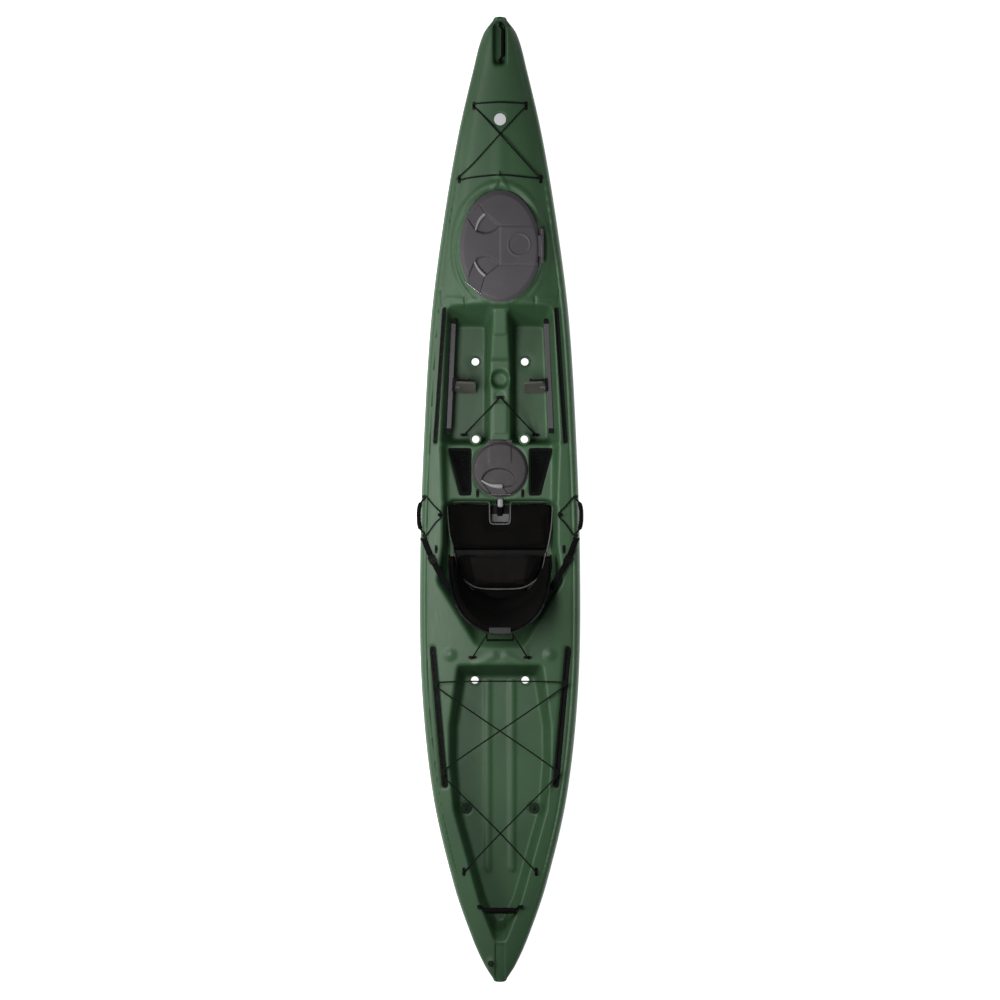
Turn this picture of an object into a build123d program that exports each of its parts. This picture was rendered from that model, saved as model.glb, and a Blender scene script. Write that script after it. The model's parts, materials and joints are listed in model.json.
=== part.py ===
from build123d import *
import math
import os

# A sit-on-top touring kayak: +X towards the bow, +Y to port, +Z up, millimetres.
# The origin is at the middle of the length and beam, on the plane that the keel rests on.

# ---- driving dimensions ----
HALF_LENGTH = 2135.0
WALL = 5.0
CONSOLE_Z = 200.0
FOOTWELL_FLOOR_Z = 95.0
SEAT_FLOOR_Z = 105.0
TANKWELL_FLOOR_Z = 130.0
SIDE_DECK_Z = 265.0
ABOVE_DECK_Z = 430.0

# Hull stations: x, half beam, keel z, widest z, shoulder z, crown z, vee (0 flat to 1 sharp).
STATIONS = [
    (-HALF_LENGTH, 22, 165, 225, 258, 266, 1.0),
    (-2060, 70, 60, 212, 262, 274, 1.0),
    (-1936, 126, 18, 202, 263, 277, 0.9),
    (-1700, 207, 4, 196, 262, 276, 0.6),
    (-1300, 299, -1, 193, 260, 272, 0.22),
    (-800, 349, -3, 190, 258, 268, 0.03),
    (-250, 355, -3, 190, 258, 268, 0.0),
    (300, 337, -3, 194, 262, 278, 0.04),
    (800, 306, -2, 208, 278, 322, 0.15),
    (1200, 256, 1, 228, 297, 343, 0.35),
    (1600, 189, 8, 250, 314, 356, 0.6),
    (1900, 120, 34, 272, 334, 370, 0.85),
    (2060, 75, 95, 292, 350, 382, 1.0),
    (HALF_LENGTH, 20, 215, 318, 364, 390, 1.0),
]


HOLLOW_HALF_LENGTH = 2103.0                       # the tips beyond it are solid
END_LENGTH, END_PANELS, MIDDLE_PANELS = 235.0, 4, 20
BOTTOM_FACETS, DECK_FACETS = 16, 20
HULL_CUTS = (-2140.0, -1420.0, -704.0, -8.0, 905.0, 1395.0, 2140.0)   # where the hull's solids meet


# ---- small helpers ----
def polygon(points, radius=0.0):
    """A flat face in XY from hand-placed corners, all rounded alike."""
    face = make_face(Polyline(*points, close=True))
    return fillet(face.vertices(), radius) if radius else face


def mirrored(points):
    """Corners given on the port side, from bow to stern, closed round the starboard side."""
    return points + [(x, -y) for x, y in reversed(points)]


def prism(face, low, high):
    return Pos(0, 0, low) * extrude(face, amount=high - low)


def side_prism(points, half_width, offset_y=0.0):
    """A polygon of (x, z) corners, as thick as twice half_width across the boat."""
    face = make_face(Polyline(*[(x, offset_y + half_width, z) for x, z in points], close=True))
    return extrude(face, amount=2 * half_width, dir=(0, -1, 0))


def rod(start, end, radius):
    axis = Vector(*end) - Vector(*start)
    return Solid.make_cylinder(radius, axis.length, Plane(origin=start, z_dir=axis))


def port_and_starboard(solid):
    return solid + mirror(solid, about=Plane.XZ)


# ---- hull ----
def hull_section(station, inset=0.0):
    x, beam, keel, widest, shoulder, crown, vee = station
    beam, keel, shoulder, crown = beam - inset, keel + inset, shoulder - inset, crown - inset
    side, edge, rise = widest - keel, shoulder - widest, crown - shoulder
    bottom = [(0, keel), (0.5 * beam, keel + (0.04 + 0.24 * vee) * side),
              (0.85 * beam, keel + (0.16 + 0.38 * vee) * side),
              (0.97 * beam, keel + (0.5 + 0.26 * vee) * side), (beam, widest)]
    deck = [(beam, widest), (0.995 * beam, widest + 0.45 * edge), (0.975 * beam, widest + 0.75 * edge),
            (0.93 * beam, widest + 0.94 * edge), (0.87 * beam, shoulder),
            (0.7 * beam, shoulder + 0.42 * rise), (0.5 * beam, shoulder + 0.74 * rise),
            (0.25 * beam, shoulder + 0.94 * rise), (0, crown)]
    low = [(x, -y, z) for y, z in reversed(bottom)] + [(x, y, z) for y, z in bottom[1:]]
    high = [(x, y, z) for y, z in deck] + [(x, -y, z) for y, z in reversed(deck[:-1])]
    low = Spline(*low, tangents=[(0, 0, -1), (0, 0, 1)])
    high = Spline(*high, tangents=[(0, 0, 1), (0, 0, -1)])
    around = [low @ (k / BOTTOM_FACETS) for k in range(BOTTOM_FACETS)]
    around += [high @ (k / DECK_FACETS) for k in range(DECK_FACETS)]
    return make_face(Polyline(*around, close=True))


def station_at(x):
    """One station's values at x, on smooth curves through the stations either side."""
    last = len(STATIONS) - 1
    k = max(i for i in range(last) if STATIONS[i][0] <= x)
    before, start, end, after = (STATIONS[min(max(i, 0), last)] for i in (k - 1, k, k + 1, k + 2))
    run = end[0] - start[0]
    t = (x - start[0]) / run
    values = [x]
    for a, b, c, d in zip(before[1:], start[1:], end[1:], after[1:]):
        leave = (c - a) / (end[0] - before[0]) * run
        arrive = (d - b) / (after[0] - start[0]) * run
        values.append(b + leave * t + (3 * (c - b) - 2 * leave - arrive) * t ** 2
                      + (2 * (b - c) + leave + arrive) * t ** 3)
    return values


def hull_body(inset=0.0):
    """The hull without its recesses: flat facets between close stations, finer at the ends."""
    middle = HALF_LENGTH - END_LENGTH
    places = [-HALF_LENGTH + END_LENGTH * k / END_PANELS for k in range(END_PANELS)]
    places += [-middle + 2 * middle * k / MIDDLE_PANELS for k in range(MIDDLE_PANELS + 1)]
    places += [middle + END_LENGTH * k / END_PANELS for k in range(1, END_PANELS + 1)]
    stations = [station_at(x) for x in places]
    for end in (0, -1):
        stations[end][0] *= (HALF_LENGTH - 2 * inset) / HALF_LENGTH
    body = loft([hull_section(station, inset) for station in stations], ruled=True)
    keel_plane = Pos(0, 0, inset + ABOVE_DECK_Z / 2) * Box(3 * HALF_LENGTH, HALF_LENGTH, ABOVE_DECK_Z)
    return body & keel_plane


FOOTWELL_FLOOR = [(262, 62), (775, 60), (775, 199), (262, 217)]
FOOTWELL_RIM = [(243, 42), (845, 38), (845, 229), (243, 262)]
PLATFORM_FLOOR = [(252, 236), (-20, 236)]
PLATFORM_RIM = [(255, 262), (-20, 250)]
POCKET_FLOOR = [(210, 146), (210, 216), (42, 163), (42, 146)]
POCKET_RIM = [(222, 134), (222, 226), (28, 171), (28, 134)]
SEAT_FLOOR = [(-12, 232), (-190, 233), (-335, 238), (-472, 118)]
SEAT_RIM = [(4, 250), (-200, 251), (-365, 278), (-650, 100)]
TANKWELL_FLOOR = [(-780, 158), (-1000, 196), (-1150, 198), (-1370, 180), (-1765, 68), (-1870, 18)]
TANKWELL_RIM = [(-732, 186), (-1000, 222), (-1150, 222), (-1370, 204), (-1780, 88), (-1950, 20)]
TROUGH_SIDE = [(200, CONSOLE_Z), (617, CONSOLE_Z), (624, 212), (857, 292), (860, ABOVE_DECK_Z)]
CUP_X, CUP_R, CUP_FLOOR_Z, CUP_BOSS_R = 536.0, 37.0, 160.0, 44.0
BOW_SLOT = (1926.0, 2114.0, 26.0, 342.0)          # rear x, front x, half width, floor z
BOW_SEAT_Z, MID_SEAT_Z = 331.0, 194.0
MID_HATCH_X = 134.0
EGG_X, EGG_FRONT, EGG_REAR, EGG_SIDE = 1108.0, 262.0, 234.0, 178.0
BOW_OPENING_INSET, MID_OPENING_R = 36.0, 100.0
SCUPPER_R = 17.0
DRAIN_PLUG, DRAIN_NECK_R = (-2052.0, 38.0, 270.0), 10.0
SCUPPERS = [(615, 110, FOOTWELL_FLOOR_Z), (270, 108, FOOTWELL_FLOOR_Z),
            (-801, 112, TANKWELL_FLOOR_Z), (-1368, 150, TANKWELL_FLOOR_Z)]
RAILS = {  # both ends of each rail's foot on the port side, its width and height, and its screws
    "front": ((258, 288, 258.0), (843, 247, 279.0), 17.0, 11.0, (0.02, 0.35, 0.66, 0.98)),
    "rear": ((-1260, 246, 254.5), (-660, 299, 253.5), 25.0, 12.0, (0.03, 0.36, 0.64, 0.97)),
}


def frustum(floor, rim, floor_z, rim_z, radius, grow=0.0):
    """A recess tool: floor outline at floor_z, rim outline at rim_z, carried up past the deck."""
    stretch = (ABOVE_DECK_Z - floor_z) / (rim_z - floor_z)
    top = [(ax + stretch * (bx - ax), ay + stretch * (by - ay)) for (ax, ay), (bx, by) in zip(floor, rim)]
    low, high = (offset(polygon(p, radius), amount=grow) if grow else polygon(p, radius)
                 for p in (floor, top))
    return loft([Pos(0, 0, floor_z - grow) * low, Pos(0, 0, ABOVE_DECK_Z) * high], ruled=True)


def egg(grow=0.0):
    """The bow hatch outline: two half ellipses that meet at its widest point."""
    side = EGG_SIDE + grow
    front = EllipticalCenterArc((EGG_X, 0), EGG_FRONT + grow, side, start_angle=-90, arc_size=180)
    rear = EllipticalCenterArc((EGG_X, 0), EGG_REAR + grow, side, start_angle=90, arc_size=180)
    return make_face([front, rear])


def rail_plane(ends):
    start, end = Vector(*ends[0]), Vector(*ends[1])
    along = (end - start).normalized()
    plane = Plane(origin=(start + end) / 2, x_dir=along, z_dir=along.cross(Vector(0, 1, 0)))
    return plane, (end - start).length


def rail_groove(name, grow):
    ends, width = RAILS[name][:2], RAILS[name][2]
    plane, length = rail_plane(ends)
    tool = Box(length + width + 2 * grow + 4, width + 2 * grow + 3, 60 + grow,
               align=(Align.CENTER, Align.CENTER, Align.MIN))
    return port_and_starboard(plane.location * Pos(0, 0, -grow) * tool)


def hull_recesses(grow=0.0):
    """Every recess in the deck; grow makes the same shapes larger by the wall, for the hollow inside."""
    footwell = frustum(FOOTWELL_FLOOR, FOOTWELL_RIM, FOOTWELL_FLOOR_Z, SIDE_DECK_Z, 22, grow)
    boss = Pos(CUP_X, 0, 0) * Cylinder(CUP_BOSS_R - grow, 2 * CONSOLE_Z)
    footwells = port_and_starboard(footwell) - boss
    slope = [(x + (grow if x > CUP_X else -grow), z - grow) for x, z in TROUGH_SIDE]
    trough = side_prism(slope + [(slope[0][0], ABOVE_DECK_Z)], 72 + grow)
    platform = frustum(mirrored(PLATFORM_FLOOR), mirrored(PLATFORM_RIM), CONSOLE_Z, SIDE_DECK_Z, 18, grow)
    pocket = frustum(POCKET_FLOOR, POCKET_RIM, FOOTWELL_FLOOR_Z + 25, CONSOLE_Z, 9, grow)
    pocket = pocket & Pos(0, 0, CONSOLE_Z - 120) * Box(4 * HALF_LENGTH, 2000, 260)
    seat = frustum(mirrored(SEAT_FLOOR), mirrored(SEAT_RIM), SEAT_FLOOR_Z, SIDE_DECK_Z, 40, grow)
    tankwell = frustum(mirrored(TANKWELL_FLOOR), mirrored(TANKWELL_RIM), TANKWELL_FLOOR_Z, SIDE_DECK_Z, 12,
                       grow)
    cup = Pos(CUP_X, 0, 0) * prism(Circle(CUP_R + grow), CUP_FLOOR_Z - grow, ABOVE_DECK_Z)
    rear_x, front_x, half_width, floor_z = BOW_SLOT
    slot = prism(Pos((rear_x + front_x) / 2, 0) * RectangleRounded(
        front_x - rear_x + 2 * grow, 2 * (half_width + grow), 14 + grow), floor_z - grow, ABOVE_DECK_Z)
    bow_seat = prism(egg(4 + grow), BOW_SEAT_Z - grow, ABOVE_DECK_Z)
    mid_seat = Pos(MID_HATCH_X, 0, 0) * prism(Circle(127 + grow), MID_SEAT_Z - grow, ABOVE_DECK_Z)
    tools = [footwells, trough, platform, port_and_starboard(pocket), seat, tankwell, cup, slot,
             bow_seat, mid_seat]
    tools += [rail_groove(name, grow) for name in RAILS]
    return tools


def make_hull():
    """The one-piece hull, kept as solids that meet on cross planes and on the centre plane."""
    outer = hull_body() + prism(egg(9), BOW_SEAT_Z - 40, BOW_SEAT_Z + 3)
    hollow = hull_body(WALL) + prism(egg(9 - WALL), BOW_SEAT_Z - 45, BOW_SEAT_Z - WALL)
    for tool in hull_recesses():
        outer = outer - tool
    for tool in hull_recesses(WALL):
        hollow = hollow - tool
    hollow = hollow & Box(2 * HOLLOW_HALF_LENGTH, HALF_LENGTH, 2 * ABOVE_DECK_Z)
    for x, y, floor_z in SCUPPERS:
        hollow = hollow - port_and_starboard(Pos(x, y, 0) * Cylinder(SCUPPER_R + WALL, 2 * floor_z + 30))
    bores = [port_and_starboard(Pos(x, y, 0) * Cylinder(SCUPPER_R, 3 * floor_z))
             for x, y, floor_z in SCUPPERS]
    bores += [prism(egg(-BOW_OPENING_INSET), BOW_SEAT_Z - 60, BOW_SEAT_Z + 5),
              Pos(MID_HATCH_X, 0, 0) * prism(Circle(MID_OPENING_R), MID_SEAT_Z - 40, MID_SEAT_Z + 5),
              Pos(*DRAIN_PLUG) * Cylinder(DRAIN_NECK_R, 60)]
    ribs = [Pos(-1225, side * 54, TANKWELL_FLOOR_Z - 0.5) * prism(SlotOverall(850, 26), 0, 7)
            for side in (1, -1)]
    pad = prism(Pos(363, 0) * RectangleRounded(146, 68, 12), CONSOLE_Z - 0.5, CONSOLE_Z + 3)
    pieces = []
    for low, high in zip(HULL_CUTS, HULL_CUTS[1:]):
        slab = Pos((low + high) / 2, 0, 0) * Box(high - low, 2 * HALF_LENGTH, 3 * ABOVE_DECK_Z)
        piece = (outer & slab) - (hollow & slab)
        for bore in bores:
            piece = piece - bore
        for extra in ribs + [pad]:
            piece = piece + (extra & slab)
        for side in (1, -1):
            pieces += (piece & Pos(0, side * HALF_LENGTH, 0) * slab).solids()
    return Compound(pieces)


# ---- deck fittings ----
CORD_R = 3.2
PADEYES = {  # x, |y|, deck z, turn about Z, sideways slope; every entry with |y| > 0 is on both sides
    "bow": [(1742, 115, 335.4, 0, 24), (1419, 180, 311.2, 0, 24), (1438, 0, 350.7, 0, 0)],
    "cockpit": [(455, 0, CONSOLE_Z, 90, 0), (290, 159, FOOTWELL_FLOOR_Z, 90, 0),
                (30, 100, CONSOLE_Z, 0, 0), (-218, 283, 259.8, 0, 0)],
    "stern": [(-697, 122, 266.4, 90, 0), (-1646, 160, 266.6, 0, 4)],
}
KEEPER_POST = (-66.0, 267.0, 261.0)
SLIDER_FRACTIONS = (0.742, 0.085)


def padeye():
    base = prism(SlotOverall(38, 13), -1.5, 3)
    arch = extrude(Plane.XZ * (Circle(9) - Circle(5)), amount=2.5, both=True)
    arch = (Pos(0, 0, 3) * arch) & Pos(0, 0, 12.5) * Box(40, 40, 20)
    holes = [Pos(side * 13.5, 0, 0) * Cylinder(2, 20) for side in (1, -1)]
    return base + arch - holes


def padeye_screws():
    return [Pos(side * 13.5, 0, 0) * (Pos(0, 0, -3.5) * Cylinder(1.9, 13) + Pos(0, 0, 4) * Cylinder(3.4, 2))
            for side in (1, -1)]


def padeye_places(group):
    for x, y, z, turn, slope in PADEYES[group]:
        for side in ((1, -1) if y else (1,)):
            yield Pos(x, side * y, z) * Rot(-side * slope, 0, 0) * Rot(0, 0, turn)


def rail_and_screws(name):
    start, end, width, height, holes = RAILS[name]
    plane, length = rail_plane((start, end))
    body = prism(SlotOverall(length + width, width), 0, height)
    mouth = Pos(0, 0, height) * Box(length, 0.36 * width, 2 * (height - 4))
    throat = Pos(0, 0, 5.5) * Box(length, 0.64 * width, 3)
    at = [Pos((hole - 0.5) * length, 0, 0) for hole in holes]
    body = body - mouth - throat - [place * Cylinder(1.9, 20) for place in at]
    screws = [place * (Pos(0, 0, -3) * Cylinder(1.8, 14) + Pos(0, 0, 5) * Cylinder(2.6, 2)) for place in at]
    placed = [plane.location * solid for solid in (body, screws[0] + screws[1:])]
    return placed[0], mirror(placed[0], about=Plane.XZ), port_and_starboard(placed[1])


def rail_slider(fraction):
    """A bungee post that is clamped in the slot of a rear rail."""
    start, end, width, height, _ = RAILS["rear"]
    plane, length = rail_plane((start, end))
    neck = Pos(0, 0, 8.5) * Box(20, 0.3 * width, 8.2)
    foot = Pos(0, 0, 5.5) * Box(20, 0.58 * width, 2.2)
    base = prism(RectangleRounded(36, 21, 5), height + 0.2, height + 5)
    post = prism(Circle(6.5), height + 5, height + 21)
    cap = prism(Circle(11), height + 21, height + 24)
    slider = plane.location * Pos((fraction - 0.5) * length, 0, 0) * (neck + foot + base + post + cap)
    return port_and_starboard(slider)


def keeper_post():
    x, y, z = KEEPER_POST
    post = prism(Circle(9), -2, 3) + prism(Circle(4.5), 3, 13) + Pos(0, 0, 16) * Sphere(7)
    return port_and_starboard(Pos(x, y, z) * post)


# ---- shock cord ----
# Each route is a list of points that the taut cord passes; the crossing strands pass one over the other.
BOW_CORD = [
    (1421, -187, 313), (1424, -142, 337), (1431, -70, 353.5), (1438, 0, 357.3), (1431, 70, 353.5),
    (1424, 142, 337), (1413, 180, 319.5), (1421, 190, 315), (1434, 176, 322), (1480, 124, 344.5),
    (1545, 65, 358), (1613, 3, 363.5), (1680, -58, 361.5), (1727, -102, 347.5), (1738, -119, 340.5),
    (1748, -121, 339.5), (1753, -107, 345.5), (1755, -46, 366), (1757, 0, 369.5), (1755, 46, 366),
    (1753, 107, 345.5), (1748, 121, 339.5), (1738, 119, 340.5), (1727, 102, 347.5), (1680, 58, 362),
    (1613, -3, 371.5), (1545, -65, 359), (1480, -124, 344.5), (1434, -168, 326), (1426, -179, 319.5),
]
COCKPIT_HALF = [(284, 165, 101), (298, 151, 102.5), (400, 52, 206), (413, 40, 210.5), (446, 9, 207.5),
                (457, 4.5, 206.3)]
COCKPIT_CORD = COCKPIT_HALF + [(x, -y, z) for x, y, z in reversed(COCKPIT_HALF)]
TANKWELL_CORD = [
    (-1655, 166, 272.6), (-1640, 153, 273.5), (-1478, 2, 283), (-1218.5, -259, 286), (-1199.5, -261.5, 287),
    (-820.5, 299, 286.5), (-802.5, 293, 286), (-802.5, -293, 277.5), (-820.5, -299, 277),
    (-1199.5, 261.5, 277), (-1218.5, 259, 276.8), (-1474, -2, 273.6), (-1640, -153, 273.5),
    (-1655, -166, 272.6),
]
KEEPER_CORD = [(15, 326.5, 259.5), (0, 314, 264), (-30, 289, 268.5), (-57, 258.5, 268.5),
               (-75, 258.5, 268.5), (-102, 288, 268.5), (-140, 313, 264), (-157, 326.5, 259.5)]
BACK_CORD = [(-603, 64, 421), (-696, 120, 279), (-704, 127, 272.4)]


def cord(points, radius=CORD_R):
    """A round cord: straight runs joined by the largest tangent arcs that the runs leave room for."""
    points = [Vector(*point) for point in points]
    radii = []
    for before, here, after in zip(points, points[1:], points[2:]):
        turn = math.radians((here - before).get_angle(after - here))
        room = 0.45 * min((here - before).length, (after - here).length)
        radii.append(room / math.tan(turn / 2))
    path = FilletPolyline(*points, radius=radii)
    tube = sweep(Plane(origin=path @ 0, z_dir=path % 0) * Circle(radius), path=path)
    drift = tube.volume / (math.pi * radius ** 2 * path.length) - 1
    print(f"cord: length {path.length:.0f} mm, tightest arc {min(radii):.1f} mm, volume off by {drift:.4f}")
    return tube


def knot(x, y, z):
    """The tied end of a bungee: a short fat overhand knot beside its padeye."""
    return Pos(x, y, z) * Rot(0, 25, 30) * (Sphere(7.5) & Box(15, 11, 13))


# ---- hatches ----
BOW_LATCHES = {"front": (1123.0, 0.0, 37.5), "rear": (1093.0, 0.0, 142.5)}   # centre x, y and heading
BOW_HINGE_DROP, MID_HINGE_DROP = 17.0, 14.0
BOW_HINGE = (1123.0, -186.0, BOW_SEAT_Z + BOW_HINGE_DROP)      # middle of the pin
MID_HINGE = (261.0, 0.0, MID_SEAT_Z + MID_HINGE_DROP)
HINGE_PIN_R, RUNNING = 2.5, 0.06
LATCH_REACH, LATCH_END = 132.0, 196.0          # from the heading's start to the bar and to the pivot
MID_LATCH_REACH, MID_LATCH_END = 64.0, 110.0


def ring(outer, inner, low, high):
    return prism(outer, low, high) - prism(inner, low - 1, high + 1)


def hinge(lid_half, rim_span, drop):
    """Knuckles about an X axis pin, drop above the rim's foot; the lid lies to +Y. Lid, rim and pin."""
    bore = Rot(0, 90, 0) * Cylinder(HINGE_PIN_R + RUNNING, 2 * rim_span[1] + 20)
    seat = Rot(0, 90, 0) * Cylinder(HINGE_PIN_R, 2 * rim_span[1] + 20)
    arm = Pos(0, 6.5, -1) * Box(2 * lid_half, 13, 8)
    lid_part = Rot(0, 90, 0) * Cylinder(6, 2 * lid_half) + arm - bore
    length = rim_span[1] - rim_span[0]
    at = Pos((rim_span[0] + rim_span[1]) / 2, 0, 0)
    post = Pos(0, 0, -drop / 2) * Box(length, 12, drop) + Pos(0, 6, 1.75 - drop) * Box(length, 24, 3.5)
    rim_part = at * (Rot(0, 90, 0) * Cylinder(6, length) + post)
    rim_part = rim_part + mirror(rim_part, about=Plane.YZ) - seat
    pin = Rot(0, 90, 0) * Cylinder(HINGE_PIN_R, 2 * rim_span[1])
    return lid_part, rim_part, pin


def latch(reach, end, lid_top):
    """A pull latch along +X from the bar at reach to the pivot at end: lever, pocket cutter and pin."""
    pivot_z = lid_top - 4.0
    lever = Pos((reach + end) / 2, 0, pivot_z) * Box(end - reach, 74, 5)
    lever = lever + Pos(end, 0, pivot_z) * Rot(90, 0, 0) * Cylinder(3.6, 74)
    bar = Pos(reach + 2, 0, pivot_z - 0.5) * Rot(90, 0, 0) * Cylinder(4.2, 78)
    lever = lever + bar - Pos(end, 0, pivot_z) * Rot(90, 0, 0) * Cylinder(1.5 + RUNNING, 90)
    pocket = Pos((reach + end) / 2, 0, pivot_z + 10) * Box(end - reach + 14, 82, 26 + 4)
    pin = Pos(end, 0, pivot_z) * Rot(90, 0, 0) * Cylinder(1.5, 90)
    finger = Pos(reach, 0) * (Circle(44) & Pos(-22, 0) * Rectangle(44, 90))
    well = prism(finger, lid_top - 22, lid_top + 20)
    cup = prism(offset(finger, amount=2.5), lid_top - 25, lid_top - 4)
    return lever, pocket, pin, well, cup


def make_bow_hatch():
    z = BOW_SEAT_Z
    lid_half, rim_span = 48, (50, 76)
    hinge_at = Pos(*BOW_HINGE)
    hinge_pieces = hinge(lid_half, rim_span, BOW_HINGE_DROP)
    lid_knuckle, rim_knuckles, pin = (hinge_at * part for part in hinge_pieces)
    rim = ring(egg(0), egg(-34), z, z + 4) + ring(egg(-26), egg(-34), z + 3, z + 11)
    rim = rim + (rim_knuckles - prism(egg(-8), z + 4, z + 60))
    gasket = ring(egg(-22), egg(-37), z + 11, z + 13.6)
    top = z + 22
    lid = prism(egg(0), z + 5, top) - prism(egg(-18), z + 4, z + 13.6)
    band = prism(Pos(1125, -88) * RectangleRounded(176, 172, 14), top - 1, top + 3)
    band = band & prism(egg(-3), top - 2, top + 5)
    emboss = Pos(1130, -85, 0) * ring(Circle(49), Circle(46), top, top + 4.2)
    lid = lid + band + emboss
    notch = hinge_at * (Box(2 * rim_span[1] + 4, 15, 40) - Box(2 * lid_half, 40, 50))
    lid = lid - notch
    pieces = {}
    pins = []
    for name, (x, y, heading) in BOW_LATCHES.items():
        place = Pos(x, y, 0) * Rot(0, 0, heading)
        latch_pieces = latch(LATCH_REACH, LATCH_END, top)
        lever, pocket, latch_pin, well, cup = (place * part for part in latch_pieces)
        lid = lid + cup - well - pocket
        pieces[f"bow_hatch_latch_{name}"] = lever
        pins.append(latch_pin)
    hinge_clear = hinge_at * Rot(0, 90, 0) * Cylinder(6.6, 2 * rim_span[1] + 4)
    lid = (lid - hinge_clear) + lid_knuckle
    for latch_pin in pins:
        lid = lid - latch_pin
    pieces.update(bow_hatch_rim=rim, bow_hatch_gasket=gasket, bow_hatch_lid=lid,
                  bow_hatch_hinge_pin=pin, bow_hatch_latch_pins=pins[0] + pins[1])
    return pieces


def make_mid_hatch():
    z = MID_SEAT_Z
    lid_half, rim_span = 26, (28, 52)
    centre, hinge_at = Pos(MID_HATCH_X, 0, 0), Pos(*MID_HINGE) * Rot(0, 0, 90)
    hinge_pieces = hinge(lid_half, rim_span, MID_HINGE_DROP)
    lid_knuckle, rim_knuckles, pin = (hinge_at * part for part in hinge_pieces)
    rim = ring(Circle(124), Circle(100), z, z + 3.5) + ring(Circle(108), Circle(100), z + 3, z + 8)
    rim = centre * rim
    rim = rim + (rim_knuckles - centre * prism(Circle(118), z + 3.5, z + 60))
    gasket = centre * ring(Circle(111), Circle(98), z + 8, z + 10)
    top = z + 19
    lid = centre * (prism(Circle(122), z + 4.5, top) - prism(Circle(113), z + 3, z + 10))
    band = Pos(MID_HATCH_X + 58, 0, 0) * prism(RectangleRounded(118, 108, 10), top - 1, top + 2.5)
    lid = lid + (band & centre * Cylinder(120, 800))
    lid = lid - hinge_at * (Box(2 * rim_span[1] + 4, 15, 40) - Box(2 * lid_half, 40, 50))
    place = centre * Rot(0, 0, 180)
    latch_pieces = latch(MID_LATCH_REACH, MID_LATCH_END, top)
    lever, pocket, latch_pin, well, cup = (place * part for part in latch_pieces)
    lid = lid + cup - well - pocket - hinge_at * Rot(0, 90, 0) * Cylinder(6.6, 2 * rim_span[1] + 4)
    lid = lid + lid_knuckle - latch_pin
    return {"mid_hatch_rim": rim, "mid_hatch_gasket": gasket, "mid_hatch_lid": lid,
            "mid_hatch_hinge_pin": pin, "mid_hatch_latch": lever, "mid_hatch_latch_pin": latch_pin}


# ---- foot braces ----
TRACK_ENDS = ((295, 228.0, 178.0), (805, 206.0, 178.0))


def track_place(side):
    start, end = (Vector(x, side * y, z) for x, y, z in TRACK_ENDS)
    return Plane(origin=(start + end) / 2, x_dir=end - start, z_dir=(0, 0, 1)).location


def make_foot_brace(side):
    """Track, carriage, pedal and release trigger; +Y of the local frame is outboard on both sides."""
    length = (Vector(*TRACK_ENDS[1]) - Vector(*TRACK_ENDS[0])).length
    slot_length = length - 24
    track = Box(length, 12, 26)
    track = track - Pos(0, -2.5, 0) * Box(slot_length, 9, 8.5) - Pos(0, 0.5, 0) * Box(slot_length, 3.6, 15)
    for end in (1, -1):
        track = track + Pos(end * (length / 2 - 14), 8, 0) * Box(20, 8, 18)
    carriage = Pos(-38, -12.8, 0) * Box(58, 12, 38) + Pos(-38, -3.5, 0) * Box(50, 8, 7.5)
    carriage = carriage + Pos(-38, 0.5, 0) * Box(50, 2.8, 14)
    pivot = (-16.0, -25.0)
    ear = Pos(*pivot) * Circle(5) + Pos(pivot[0], pivot[1] + 4) * Rectangle(10, 8)
    ear = prism(ear, -19, -13)
    carriage = carriage + ear + Pos(0, 0, 32) * ear
    carriage = carriage - Pos(pivot[0], pivot[1], 0) * Cylinder(2.0 + RUNNING, 60)
    plate = Pos(0, 0, -4) * RectangleRounded(90, 100, 12)
    plate = Plane.YZ * plate
    lean = Pos(-44, -66.5, -12) * Rot(0, 25, 0)
    pedal = lean * extrude(plate, amount=4.5, both=True)
    pedal = pedal + [lean * Pos(-5.5, 0, 20 * row - 4) * Box(4, 72, 6) for row in (-1.5, -0.5, 0.5, 1.5)]
    arm = Pos(-48, -20.6, -4) * Box(26, 3.6, 26) + Pos(-46, -30, -4) * Box(14, 22, 20)
    pedal = (pedal + arm) - Pos(-38, -8.8, 0) * Box(60, 20.0, 40)
    lever = prism(Pos(pivot[0], pivot[1]) * Circle(5), -12.5, 12.5)
    lever = lever + Pos(pivot[0], pivot[1] - 28, 0) * Box(7, 56, 14)
    lever = lever + Pos(pivot[0] + 3, pivot[1] - 56, 0) * Cylinder(6, 22)
    trigger = lever + Pos(pivot[0], pivot[1], 0) * Cylinder(2.0, 38)
    place = track_place(side)
    if side < 0:
        parts = [mirror(part, about=Plane.XZ) for part in (track, carriage, pedal, trigger)]
    else:
        parts = [track, carriage, pedal, trigger]
    return [place * part for part in parts]


# ---- carry handles ----
BOW_HANDLE = (1938.0, 2102.0, 358.0)                 # eyelet x at both ends, pin z
SIDE_HANDLE = (-152.0, 10.0, 337.0, 259.0)           # pin ends x, |y|, z
STERN_HANDLE = (-1800.0, 284.0, 90.0)                # pin x, z and the pins' |y|


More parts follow.
